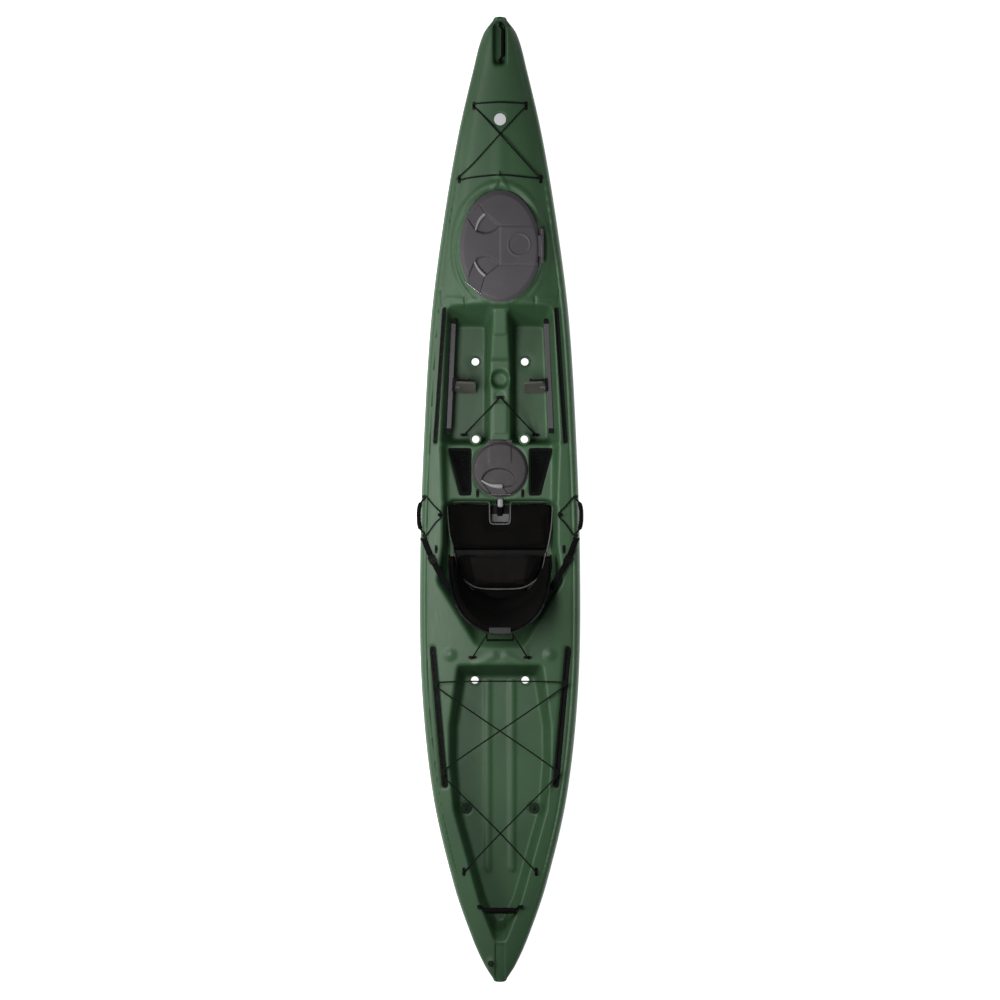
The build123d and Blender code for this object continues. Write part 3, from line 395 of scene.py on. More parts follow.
# ---- hull ----
RASTER, MOULD_RADIUS = 0.003, 0.0050
FINE_STEP, COARSE_STEP = 0.0057, 0.009
FINE_FROM, FINE_TO = -2.0, 1.42
NOSE_RADIUS, NOSE_POWER = 0.014, 0.45
FACET_ERROR = 0.0022                          # how far the CAD's flat facets are from the smooth hull
DECK_ROWS, EDGE_ROWS, BOTTOM_ROWS = 117, 7, 44
SCUPPERS = [(0.615, 0.110), (0.270, 0.108), (-0.801, 0.112), (-1.368, 0.150)]
SCUPPER_R, SCUPPER_RING_R = 0.017, 0.0262
DRAIN = (-2.052, 0.038)
EGG_X, EGG_FRONT, EGG_REAR, EGG_SIDE = 1.108, 0.262, 0.234, 0.178
MID_HATCH_X, MID_OPENING_R = 0.134, 0.100


# Hull stations: x, half beam, keel, widest, shoulder and crown heights, and how sharp the vee is.
STATIONS = np.array([
    (-2.135, 0.022, 0.165, 0.225, 0.258, 0.266, 1.0),
    (-2.060, 0.070, 0.060, 0.212, 0.262, 0.274, 1.0),
    (-1.936, 0.126, 0.018, 0.202, 0.263, 0.277, 0.9),
    (-1.700, 0.207, 0.004, 0.196, 0.262, 0.276, 0.6),
    (-1.300, 0.299, -0.001, 0.193, 0.260, 0.272, 0.22),
    (-0.800, 0.349, -0.003, 0.190, 0.258, 0.268, 0.03),
    (-0.250, 0.355, -0.003, 0.190, 0.258, 0.268, 0.0),
    (0.300, 0.337, -0.003, 0.194, 0.262, 0.278, 0.04),
    (0.800, 0.306, -0.002, 0.208, 0.278, 0.322, 0.15),
    (1.200, 0.256, 0.001, 0.228, 0.297, 0.343, 0.35),
    (1.600, 0.189, 0.008, 0.250, 0.314, 0.356, 0.6),
    (1.900, 0.120, 0.034, 0.272, 0.334, 0.370, 0.85),
    (2.060, 0.075, 0.095, 0.292, 0.350, 0.382, 1.0),
    (2.135, 0.020, 0.215, 0.318, 0.364, 0.390, 1.0),
])


def station_at(x):
    """The hull's values at a station, on smooth curves through the ones either side."""
    last = len(STATIONS) - 1
    k = min(max(int(np.searchsorted(STATIONS[:, 0], x)) - 1, 0), last - 1)
    before, start, end, after = STATIONS[[max(k - 1, 0), k, k + 1, min(k + 2, last)]]
    run = end[0] - start[0]
    t = (x - start[0]) / run
    leave = (end - before) / (end[0] - before[0]) * run
    arrive = (after - start) / (after[0] - start[0]) * run
    return (start + leave * t + (3 * (end - start) - 2 * leave - arrive) * t ** 2
            + (2 * (start - end) + leave + arrive) * t ** 3)


def spline_through(points, first, last, count=160):
    """A smooth line through points in a plane, which leaves and arrives in the given directions."""
    points = np.array(points)
    gaps = np.hypot(*np.diff(points, axis=0).T)
    knots = np.concatenate([[0], np.cumsum(gaps)])
    size = len(points)
    matrix, right = np.zeros((size, size)), np.zeros((size, 2))
    matrix[0, 0] = matrix[-1, -1] = 1
    right[0], right[-1] = first, last
    for k in range(1, size - 1):
        a, b = gaps[k - 1], gaps[k]
        matrix[k, k - 1:k + 2] = b, 2 * (a + b), a
        right[k] = 3 * (b * (points[k] - points[k - 1]) / a + a * (points[k + 1] - points[k]) / b)
    slopes = np.linalg.solve(matrix, right)
    at = np.linspace(0, knots[-1], count)
    k = np.clip(np.searchsorted(knots, at) - 1, 0, size - 2)
    gap = gaps[k][:, None]
    t = ((at - knots[k])[:, None]) / gap
    return ((2 * t ** 3 - 3 * t ** 2 + 1) * points[k] + (t ** 3 - 2 * t ** 2 + t) * gap * slopes[k]
            + (3 * t ** 2 - 2 * t ** 3) * points[k + 1] + (t ** 3 - t ** 2) * gap * slopes[k + 1])


def outline_at(x):
    """The port half of the bare hull's section: (y, z) from its widest point to the keel and to the crown."""
    _, beam, keel, widest, shoulder, crown, vee = station_at(x)
    side, edge, rise = widest - keel, shoulder - widest, crown - shoulder
    bottom = [(beam, widest), (0.97 * beam, keel + (0.5 + 0.26 * vee) * side),
              (0.85 * beam, keel + (0.16 + 0.38 * vee) * side),
               (0.5 * beam, keel + (0.04 + 0.24 * vee) * side),
              (0, keel)]
    deck = [(beam, widest), (0.995 * beam, widest + 0.45 * edge), (0.975 * beam, widest + 0.75 * edge),
            (0.93 * beam, widest + 0.94 * edge), (0.87 * beam, shoulder),
             (0.7 * beam, shoulder + 0.42 * rise),
            (0.5 * beam, shoulder + 0.74 * rise), (0.25 * beam, shoulder + 0.94 * rise), (0, crown)]
    bottom = spline_through(bottom, (0, -1), (-1, 0))
    bottom[:, 1] = np.maximum(bottom[:, 1], 0)
    return bottom, spline_through(deck, (0, 1), (-1, 0))


def egg_reach(x, y, grow=0.0):
    """How far a point is from the bow hatch's centre, where 1 is the outline made larger by grow."""
    along = np.where(np.asarray(x) > EGG_X, EGG_FRONT + grow, EGG_REAR + grow)
    return np.hypot((x - EGG_X) / along, y / (EGG_SIDE + grow))


def egg_line(grow, steps=96):
    """Points round the bow hatch's outline."""
    turns = np.arange(steps) * 2 * math.pi / steps
    along = np.where(np.cos(turns) > 0, EGG_FRONT + grow, EGG_REAR + grow)
    return [(EGG_X + a * math.cos(t), (EGG_SIDE + grow) * math.sin(t)) for a, t in zip(along, turns)]


def circle_line(centre, radius, steps=96):
    return [(centre[0] + radius * math.cos(2 * math.pi * s / steps),
             centre[1] + radius * math.sin(2 * math.pi * s / steps)) for s in range(steps)]


def lump(distance, width, height):
    """A rounded rise: full height at distance 0, gone at the given half width."""
    return height * smoothstep(1 - np.abs(distance) / width)


def from_run(x, y, start, end):
    """Distance of points from a straight run between two places."""
    (ax, ay), (bx, by) = start, end
    dx, dy = bx - ax, by - ay
    t = np.clip(((x - ax) * dx + (y - ay) * dy) / (dx * dx + dy * dy), 0, 1)
    return np.hypot(x - ax - t * dx, y - ay - t * dy)


def pad_rise(x, y, low, high, corner, height):
    """A raised pad with rounded corners and soft edges."""
    cx, cy = (low[0] + high[0]) / 2, (low[1] + high[1]) / 2
    hx, hy = (high[0] - low[0]) / 2 - corner, (high[1] - low[1]) / 2 - corner
    away = np.hypot(np.maximum(np.abs(x - cx) - hx, 0), np.maximum(np.abs(y - cy) - hy, 0)) - corner
    return height * smoothstep(0.5 - away / 0.009)


def deck_details(x, y):
    """Small moulded shapes that the deck has on top of its recesses, as rises in metres."""
    side = np.abs(y)
    rise = np.zeros_like(x)
    collar = (egg_reach(x, y, 0.030) - 1) * 0.2                            # round the bow hatch
    rise += lump(collar, 0.016, 0.006) * smoothstep((x - 0.86) / 0.08)
    rise += lump(from_run(x, side, (1.372, 0.030), (1.433, 0.0)), 0.020, 0.005)   # and its peak
    rise += lump(from_run(x, y, (1.45, 0.0), (1.66, 0.0)), 0.05, 0.004)
    rise += lump(from_run(x, side, (0.866, 0.05), (0.872, 0.215)), 0.010, 0.003)  # lip of the footwells
    rise -= lump(from_run(x, side, (0.850, 0.154), (0.897, 0.154)), 0.008, 0.005)  # creases over the lip
    rise -= lump(from_run(x, side, (0.862, 0.255), (0.932, 0.262)), 0.008, 0.003)
    rise += lump(from_run(x, side, (0.885, 0.06), (0.885, 0.14)), 0.020, 0.003)   # and the soft rolls between
    rise += lump(from_run(x, side, (0.888, 0.175), (0.892, 0.235)), 0.020, 0.003)
    for low, high, height in (((0.729, -0.031), (0.844, 0.031), 0.0035),
                              ((0.291, -0.036), (0.434, 0.036), 0.0012)):
        rise += pad_rise(x, y, low, high, 0.014, height)                          # pads on the console
        outline = pad_rise(x, y, low, high, 0.014, 1.0)
        rise -= 0.0022 * np.clip(4 * outline * (1 - outline), 0, 1)
    rise -= 0.0022 * smoothstep((0.026 - np.hypot(x - 0.462, y)) / 0.004)         # round the front padeye
    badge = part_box("bow_badge")[0].lerp(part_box("bow_badge")[1], 0.5)
    rise -= 0.0045 * smoothstep((0.034 - np.hypot(x - badge.x, y - badge.y)) / 0.012)
    for place in SCUPPERS[:2]:                                                    # pockets at the scuppers
        rise -= lump(np.hypot(x - place[0], side - place[1]), 0.055, 0.003)
    plug = np.hypot(x - SCUPPERS[3][0], side - SCUPPERS[3][1])
    rise -= 0.006 * smoothstep((0.030 - plug) / 0.004) * smoothstep((plug - 0.0215) / 0.003)
    rise += lump(np.hypot(x + 0.685, side - 0.221), 0.037, 0.009)                 # bumps behind the seat
    rise += lump(from_run(x, side, (-0.69, 0.03), (-0.735, 0.11)), 0.03, 0.004)
    tail = smoothstep((-1.952 - x) / 0.02)
    rise -= tail * 0.007 * smoothstep((0.025 - side) / 0.006)                     # groove to the stern tip
    rise += lump(np.hypot(x - DRAIN[0], y - DRAIN[1]), 0.036, 0.006)              # boss of the drain plug
    return rise


def hull_stations():
    lo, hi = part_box("hull")
    x, last, out = lo.x + NOSE_RADIUS, hi.x - NOSE_RADIUS, []
    while x < last:
        out.append(x)
        x += FINE_STEP if FINE_FROM < x < FINE_TO else COARSE_STEP
    return out + [last]


def hull_sections():
    """For each station: x, its deck points from port to starboard, and its bottom points."""
    tree = caster("hull")
    lo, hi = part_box("hull")
    soft = HeightMap(tree, lo, hi, RASTER)
    bare = np.array([np.interp(np.abs(soft.y[0]), *outline_at(x)[1][::-1].T) for x in soft.x[:, 0]])
    soft.fill(np.abs(soft.height - bare) < FACET_ERROR, bare)
    seat = float(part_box("bow_hatch_rim")[0].z)
    soft.fill(egg_reach(soft.x, soft.y + 0 * soft.x, -0.030) < 1, seat)
    mid_seat = float(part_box("mid_hatch_rim")[0].z)
    soft.fill(np.hypot(soft.x - MID_HATCH_X, soft.y) < MID_OPENING_R + 0.006, mid_seat)
    for x, y in SCUPPERS:
        for sign in (1, -1):
            soft.fill_disc((x, sign * y), SCUPPER_R + 0.003)
    soft.fill_disc(DRAIN, 0.012)
    soft.soften(MOULD_RADIUS)
    decks, bottoms, columns = [], [], hull_stations()
    for x in columns:
        below, above = outline_at(x)
        beam = above[0, 0]
        inner = beam - min(0.03, 0.25 * beam)
        y = inner * np.linspace(1, -1, DECK_ROWS)
        height = soft.at(np.full_like(y, x), y)
        smooth = np.interp(np.abs(y), *above[::-1].T)
        raw = np.array([hit(tree, (x, v, 1.0), (0, 0, -1), Vector((x, v, h))).z for v, h in zip(y, smooth)])
        raw = np.where(np.abs(raw - smooth) < FACET_ERROR, smooth, raw)
        blend = smoothstep((beam - np.abs(y) - 0.012) / 0.02)
        deck = list(zip(y, blend * height + (1 - blend) * raw))
        rim = above[above[:, 0] > inner]
        edge = [tuple(rim[int(k)]) for k in np.linspace(0, len(rim) - 1, EDGE_ROWS)]
        decks.append(edge + deck + [(-a, b) for a, b in reversed(edge)])
        bottom = [tuple(below[int(k)]) for k in np.linspace(0, len(below) - 1, BOTTOM_ROWS)]
        bottoms.append(bottom + [(-a, b) for a, b in reversed(bottom[:-1])])
    return columns, np.array(decks), np.array(bottoms)


def with_noses(columns, sections):
    """Adds rounded ends: the last section narrows to a line over the nose radius."""
    turns = np.radians([18, 36, 54, 72, 90])
    for end, sign in ((0, -1), (-1, 1)):
        base, middle = sections[end], sections[end][:, 1].mean()
        for turn in turns:
            narrow = base * [math.cos(turn) ** NOSE_POWER, 1]
            narrow[:, 1] = middle + (base[:, 1] - middle) * (0.93 + 0.07 * math.cos(turn))
            x = BASE_ENDS[end] + sign * NOSE_RADIUS * math.sin(turn)
            columns = [x] + columns if end == 0 else columns + [x]
            sections = np.concatenate([narrow[None], sections] if end == 0 else [sections, narrow[None]])
    return columns, sections


BASE_ENDS = {0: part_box("hull")[0].x + NOSE_RADIUS, -1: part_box("hull")[1].x - NOSE_RADIUS}


def hull_piece(name, columns, sections, material, dropped=None):
    columns, sections = with_noses(list(columns), sections)
    x = np.repeat(np.array(columns)[:, None], sections.shape[1], 1)
    points = np.stack([x, sections[..., 0], sections[..., 1]], -1).reshape(-1, 3)
    faces = np.array(grid_faces(len(columns), sections.shape[1]))
    if dropped is in_scuppers:
        points[:, 0], points[:, 1] = clear_of_scuppers(points[:, 0], points[:, 1])
    if dropped is not None:
        middle = points[faces].mean(1)
        faces = faces[~dropped(middle[:, 0], middle[:, 1])]
        used, index = np.unique(faces, return_inverse=True)
        points, faces = points[used], index.reshape(faces.shape)
    return link_mesh(name, points, faces.tolist(), material)


def in_openings(x, y):
    inside = egg_reach(x, y, -0.015) < 1
    inside |= np.hypot(x - MID_HATCH_X, y) < MID_OPENING_R + 0.012
    inside |= np.hypot(x - DRAIN[0], y - DRAIN[1]) < 0.011
    return inside | in_scuppers(x, y)


def in_scuppers(x, y):
    inside = np.zeros(x.shape, bool)
    for cx, cy in SCUPPERS:
        inside |= np.hypot(x - cx, np.abs(y) - cy) < SCUPPER_R + 0.0035
    return inside


def clear_of_scuppers(x, y):
    """Moves points outwards round each scupper, so that none is over its hole."""
    edge, reach = SCUPPER_R + 0.0045, 0.036
    for cx, cy in SCUPPERS:
        for sign in (1, -1):
            dx, dy = x - cx, y - sign * cy
            away = np.maximum(np.hypot(dx, dy), 1e-6)
            push = np.where(away < reach, (edge + away * (1 - edge / reach)) / away, 1.0)
            x, y = cx + dx * push, sign * cy + dy * push
    return x, y


def make_hull(materials):
    green = materials["hull_plastic"]
    columns, decks, bottoms = hull_sections()
    x = np.repeat(np.array(columns)[:, None], decks.shape[1], 1)
    decks[..., 1] += deck_details(x, decks[..., 0]) * (np.abs(decks[..., 0]) < decks[:, :1, 0] - 0.012)
    deck = settle(hull_piece("hull_deck", columns, decks, green, in_openings),
                  "boat", ["hull"])
    bottom = settle(hull_piece("hull_bottom", columns, bottoms[:, ::-1], green, in_scuppers),
                    "boat")
    tree = caster("hull")
    for number, (cx, cy) in enumerate(SCUPPERS, 1):
        for side, sign in SIDES:
            y = sign * cy
            top = max(hit(tree, (cx + dx, y, 1.0), (0, 0, -1)).z for dx in (-0.022, 0.022))
            base = min(hit(tree, (cx + dx, y, -1.0), (0, 0, 1)).z for dx in (-0.022, 0.022))
            r, ring = SCUPPER_R, SCUPPER_RING_R
            profile = [(ring, top - 0.005), (ring - 0.0004, top), (ring - 0.0022, top + 0.002),
                       (r + 0.0045, top + 0.002), (r + 0.0018, top + 0.0006), (r + 0.0004, top - 0.003),
                       (r, top - 0.009), (r, base + 0.009), (r + 0.0015, base + 0.003),
                       (r + 0.0055, base + 0.0005), (r + 0.007, base + 0.004)]
            settle(lathe(f"scupper_tube_{number}_{side}", (cx, y), profile[::-1], green),
                   "boat")
    lips = [("bow_hatch_lip", [egg_line(g) for g in (-0.008, -0.036)], float(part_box("bow_hatch_rim")[0].z)),
            ("mid_hatch_lip", [circle_line((MID_HATCH_X, 0), r) for r in (0.118, MID_OPENING_R)],
             float(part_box("mid_hatch_rim")[0].z))]
    for name, (outer, inner), top in lips:
        profile = [(outer, top - 0.0004), (inner, top - 0.0004), (inner, top - 0.005), (outer, top - 0.005)]
        points = [(px, py, z) for line, z in profile for px, py in line]
        faces = grid_faces(4, len(outer), round_rows=True, round_columns=True)
        settle(link_mesh(name, points, faces, green), "boat")
    return deck, bottom


# ---- cords ----
CORD_R = 0.0032
BOW_CORD = [
    (1.421, -0.187, 0.313), (1.424, -0.142, 0.337), (1.431, -0.070, 0.3535), (1.438, 0, 0.3573),
    (1.431, 0.070, 0.3535), (1.424, 0.142, 0.337), (1.413, 0.180, 0.3195), (1.421, 0.190, 0.315),
    (1.434, 0.176, 0.322), (1.480, 0.124, 0.3445), (1.545, 0.065, 0.358), (1.613, 0.003, 0.3635),
    (1.680, -0.058, 0.3615), (1.727, -0.102, 0.3475), (1.738, -0.119, 0.3405), (1.748, -0.121, 0.3395),
    (1.753, -0.107, 0.3455), (1.755, -0.046, 0.366), (1.757, 0, 0.3695), (1.755, 0.046, 0.366),
    (1.753, 0.107, 0.3455), (1.748, 0.121, 0.3395), (1.738, 0.119, 0.3405), (1.727, 0.102, 0.3475),
    (1.680, 0.058, 0.362), (1.613, -0.003, 0.3715), (1.545, -0.065, 0.359), (1.480, -0.124, 0.3445),
    (1.434, -0.168, 0.326), (1.426, -0.179, 0.3195),
]
COCKPIT_HALF = [(0.284, 0.165, 0.101), (0.298, 0.151, 0.1025), (0.400, 0.052, 0.206), (0.413, 0.040, 0.2105),
                (0.446, 0.009, 0.2075), (0.457, 0.0045, 0.2063)]
COCKPIT_CORD = COCKPIT_HALF + [(x, -y, z) for x, y, z in reversed(COCKPIT_HALF)]
TANKWELL_CORD = [
    (-1.655, 0.166, 0.2726), (-1.640, 0.153, 0.2735), (-1.478, 0.002, 0.283), (-1.2185, -0.259, 0.286),
    (-1.1995, -0.2615, 0.287), (-0.8205, 0.299, 0.2865), (-0.8025, 0.293, 0.286), (-0.8025, -0.293, 0.2775),
    (-0.8205, -0.299, 0.277), (-1.1995, 0.2615, 0.277), (-1.2185, 0.259, 0.2768), (-1.474, -0.002, 0.2736),
    (-1.640, -0.153, 0.2735), (-1.655, -0.166, 0.2726),
]
KEEPER_CORD = [
    (0.015, 0.3265, 0.2595), (0, 0.314, 0.264), (-0.030, 0.289, 0.2685), (-0.057, 0.2585, 0.2685),
    (-0.075, 0.2585, 0.2685), (-0.102, 0.288, 0.2685), (-0.140, 0.313, 0.264), (-0.157, 0.3265, 0.2595)]
BACK_CORD = [(-0.603, 0.064, 0.421), (-0.696, 0.120, 0.279), (-0.704, 0.127, 0.2724)]


def mirrored(route):
    return [(x, -y, z) for x, y, z in route]


def smooth_route(route, per_run=10):
    """The points of the smooth line whose control points are the route."""
    data = bpy.data.curves.new("route", "CURVE")
    data.dimensions, data.resolution_u = "3D", per_run
    spline = data.splines.new("NURBS")
    spline.points.add(len(route) - 1)
    for point, place in zip(spline.points, route):
        point.co = (*place, 1)
    spline.order_u = 3
    spline.use_endpoint_u = True
    holder = bpy.data.objects.new("route", data)
    mesh = bpy.data.meshes.new_from_object(holder)
    line = [v.co.copy() for v in mesh.vertices]
    bpy.data.objects.remove(holder)
    bpy.data.meshes.remove(mesh)
    return line


def frames_along(line, first_across=(0, 0, 1)):
    """At each point of a line: the way along it and two directions across it, without twist."""
    across, out = Vector(first_across), []
    for k, point in enumerate(line):
        along = (line[min(k + 1, len(line) - 1)] - line[max(k - 1, 0)]).normalized()
        across = (across - along * across.dot(along)).normalized()
        out.append((point, along, across, along.cross(across)))
    return out


def tube(name, line, radius, material, sides=12, closed=False):
    """A round tube on a line, with rounded ends; radius is a number or one for each point."""
    radii = list(radius) if hasattr(radius, "__len__") else [radius] * len(line)
    line = [Vector(p) for p in line]
    if not closed:
        first, last = (line[0] - line[1]).normalized(), (line[-1] - line[-2]).normalized()
        line = [line[0] + first * radii[0] * 0.5] + line + [line[-1] + last * radii[-1] * 0.5]
        radii = [radii[0] * 0.6] + radii + [radii[-1] * 0.6]
    points, uvs, gone = [], [], 0.0
    for k, (at, _, up, out) in enumerate(frames_along(line)):
        gone += (at - line[k - 1]).length if k else 0.0
        for s in range(sides):
            turn = 2 * math.pi * s / sides
            points.append(at + radii[k] * (math.cos(turn) * up + math.sin(turn) * out))
            uvs.append((abs(2 * s / sides - 1), gone))
    faces = grid_faces(len(line), sides, round_columns=True, round_rows=closed)
    if not closed:
        faces += [tuple(range(sides))[::-1], tuple(len(points) - sides + s for s in range(sides))]
    return link_mesh(name, points, faces, material, uvs)


def bungee(name, route, material):
    line = smooth_route(route)
    piece = tube(name, line, CORD_R, material)
    return piece


def make_cords(materials):
    sheath = materials["shock_cord"]
    for name, route, length in (("bungee_bow", BOW_CORD, 1.553), ("bungee_cockpit", COCKPIT_CORD, 0.548),
                                ("bungee_tankwell", TANKWELL_CORD, 3.22)):
        piece = bungee(name, route, sheath)
        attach(piece, "boat")
        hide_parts(name)
    for side, sign in SIDES:
        keeper, back = (route if sign > 0 else mirrored(route) for route in (KEEPER_CORD, BACK_CORD))
        piece = bungee(f"bungee_keeper_{side}", keeper, sheath)
        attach(piece, "boat")
        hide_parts("bungee_keepers")
        piece = bungee(f"bungee_back_{side}", back, sheath)
        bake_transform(piece)
        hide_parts("bungee_backs")


# ---- soft parts ----
BACK_STRAP = [(-0.171, 0.338, 0.2565), (-0.240, 0.312, 0.268), (-0.318, 0.273, 0.284),
              (-0.394, 0.224, 0.302)]
THIGH_STRAP = [(0.007, 0, 0.2014), (-0.005, 0, 0.2012), (-0.026, 0, 0.152), (-0.066, 0, 0.1145),
               (-0.100, 0, 0.1118)]
WEBBING = (0.025, 0.0024)


def ribbon(name, line, width, thickness, material):
    """Flat webbing on a line, level from edge to edge, with rounded edges."""
    half, thick = width / 2, thickness / 2
    section = [(half, 0), (half - thick, thick), (half / 3, thick), (-half / 3, thick),
               (-half + thick, thick), (-half, 0), (-half + thick, -thick), (-half / 3, -thick),
               (half / 3, -thick), (half - thick, -thick)]
    points, uvs, gone = [], [], 0.0
    for k, at in enumerate(line):
        along = (line[min(k + 1, len(line) - 1)] - line[max(k - 1, 0)]).normalized()
        across = Vector((-along.y, along.x, 0)).normalized() if abs(along.z) < 0.999 else Vector((0, 1, 0))
        up = along.cross(across)
        gone += (at - line[k - 1]).length if k else 0.0
        for a, b in section:
            points.append(at + a * across + b * up)
            uvs.append((gone, a))
    count = len(section)
    faces = grid_faces(len(line), count, round_columns=True)
    faces += [tuple(range(count))[::-1], tuple(len(points) - count + s for s in range(count))]
    return link_mesh(name, points, faces, material, uvs)


def make_straps(materials):
    for side, sign in SIDES:
        route = BACK_STRAP if sign > 0 else mirrored(BACK_STRAP)
        strap = ribbon(f"seat_strap_{side}", smooth_route(route, 14), *WEBBING, materials["webbing"])
        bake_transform(strap)
        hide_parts(f"seat_strap_{side}")
    strap = ribbon("thigh_strap", smooth_route(THIGH_STRAP, 14), *WEBBING, materials["webbing"])
    settle(strap, "boat", ["thigh_strap"])


# The share of the back pad's thickness kept at its top, and the height below which all of it is kept.
BACK_PAD_KEEP, BACK_PAD_FULL = 0.55, 0.30
CORNER, CORNER_REACH = (-0.076, 0.170), (0.060, 0.059)


def copy_of(node, name, material):
    """A free copy of a CAD node's mesh, to work on."""
    piece = bpy.data.objects.new(name, NODES[node].data.copy())
    bpy.context.collection.objects.link(piece)
    piece.data.materials.clear()
    piece.data.materials.append(material)
    return piece


def applied(piece):
    """Replaces the mesh with what its modifiers make."""
    graph = bpy.context.evaluated_depsgraph_get()
    mesh = bpy.data.meshes.new_from_object(piece.evaluated_get(graph))
    piece.modifiers.clear()
    piece.data = mesh
    mesh.shade_smooth()
    return piece


def coordinates(piece):
    place = np.zeros(len(piece.data.vertices) * 3, np.float32)
    piece.data.vertices.foreach_get("co", place)
    return place.reshape(-1, 3).astype(float)


def move_to(piece, place):
    piece.data.vertices.foreach_set("co", np.asarray(place, np.float32).ravel())
    piece.data.update()


def inflate(piece, voxel, shrink, pressure, most):
    """Remeshes a closed solid and swells it as a stuffed cover, with no point moving further than most."""
    remesh = piece.modifiers.new("remesh", "REMESH")
    remesh.mode, remesh.voxel_size = "VOXEL", voxel
    applied(piece)
    normals = np.array([v.normal for v in piece.data.vertices])
    start = coordinates(piece)
    move_to(piece, start - normals * shrink)
    cloth = piece.modifiers.new("cloth", "CLOTH")
    settings = cloth.settings
    settings.quality, settings.mass = 4, 0.3
    settings.tension_stiffness = settings.compression_stiffness = 12
    settings.use_pressure, settings.uniform_pressure_force = True, pressure
    settings.effector_weights.gravity = 0
    cloth.collision_settings.use_collision = False
    scene = bpy.context.scene
    cloth.point_cache.frame_start, cloth.point_cache.frame_end = 1, 20
    for frame_number in range(1, 21):
        scene.frame_set(frame_number)
    applied(piece)
    scene.frame_set(1)
    moved = coordinates(piece) - start
    far = np.linalg.norm(moved, axis=1, keepdims=True)
    move_to(piece, start + moved * np.minimum(1, most / np.maximum(far, 1e-9)))
    return piece


def thin_back(pad):
    """Draws the face of the backrest's pad towards the shell behind it."""
    tree, place = caster("seat_back_shell"), coordinates(pad)
    for k, point in enumerate(place):
        start = Vector(point)
        way = Vector((point[0] + 0.20, point[1], 0)).normalized()
        wall = tree.ray_cast(start, way, 0.12)[0]
        if wall is not None:
            low = float(smoothstep((BACK_PAD_FULL - point[2]) / 0.10))
            place[k] = wall - (wall - start) * (BACK_PAD_KEEP + (1 - BACK_PAD_KEEP) * low)
    move_to(pad, place)


def square_corners(pad):
    """Makes the front corners of the thigh support squarer."""
    place = coordinates(pad)
    u = (place[:, 0] - CORNER[0]) / CORNER_REACH[0]
    v = (np.abs(place[:, 1]) - CORNER[1]) / CORNER_REACH[1]
    inside = (u > 0) & (v > 0)
    grow = np.hypot(u, v) / np.maximum(np.maximum(u, v), 1e-6)
    grow = np.where(inside, 1 + 0.8 * (grow - 1), 1.0)
    place[:, 0] = np.where(inside, CORNER[0] + u * grow * CORNER_REACH[0], place[:, 0])
    wide = np.sign(place[:, 1]) * (CORNER[1] + v * grow * CORNER_REACH[1])
    place[:, 1] = np.where(inside, wide, place[:, 1])
    move_to(pad, place)


def make_seat(materials):
    cloth, pads = materials["seat_fabric"], {}
    for node, body, voxel, shrink, most in (("seat_cushion", "boat", 0.005, 0.006, 0.008),
                                            ("thigh_support", "thigh_pad", 0.005, 0.006, 0.008),
                                            ("seat_back_pad", "backrest", 0.007, 0.005, 0.007)):
        pad = inflate(copy_of(node, f"{node}_cover", cloth), voxel, shrink, 4.0, most)
        if node == "seat_back_pad":
            thin_back(pad)
        if node == "thigh_support":
            square_corners(pad)
        smooth = pad.modifiers.new("smooth", "SMOOTH")
        smooth.factor, smooth.iterations = 0.5, 4
        applied(pad)
        settle(pad, body, [node])
        pads[node] = pad
    make_seat_details(pads["seat_cushion"], materials)


def with_mirror(route):
    """A route from the middle of one end round the port side, closed round the starboard side."""
    return route + [(x, -y) for x, y in reversed(route)]


def piped(name, route, z, body, materials, closed=False):
    line = smooth_route([(x, y, z) for x, y in route], 6)
    pipe = tube(name, line, 0.0030, materials["piping"], 10, closed)
    return settle(pipe, body)


THIGH_PIPING = [(-0.232, 0.208), (-0.152, 0.2255), (-0.060, 0.2325), (-0.034, 0.2335), (-0.014, 0.2325),
                (-0.008, 0.224), (-0.007, 0.190), (-0.007, 0.070), (-0.008, 0.046),
                 (-0.030, 0.046), (-0.094, 0.046), (-0.106, 0.040),
                (-0.107, 0.020)]
CUSHION_PIPING = [(-0.236, 0.203), (-0.300, 0.192), (-0.345, 0.176), (-0.385, 0.120), (-0.394, 0.080),
                  (-0.396, 0.030)]


def seat_panel(cushion, materials):
    """The raised panel on the rear of the seat, sunk at its seams."""
    rows, columns, points, uvs = 40, 60, [], []
    tree = BVHTree.FromPolygons([v.co for v in cushion.data.vertices],
                                [f.vertices for f in cushion.data.polygons])
    for i in range(rows):
        u = i / (rows - 1)
        x = -0.247 - 0.128 * u
        for j in range(columns):
            v = 2 * j / (columns - 1) - 1
            y = v * (0.138 - 0.026 * u)
            base = hit(tree, (x, y, 1.0), (0, 0, -1), Vector((x, y, 0.152))).z
            edge = min(1 - abs(v) ** 3, 1 - abs(2 * u - 1) ** 3)
            points.append((x, y, base - 0.0012 + 0.0068 * float(smoothstep(edge * 3.0))))
            uvs.append((x, y))
    panel = link_mesh("seat_panel", points, grid_faces(rows, columns), materials["seat_panel"], uvs)
    return settle(panel, "boat")


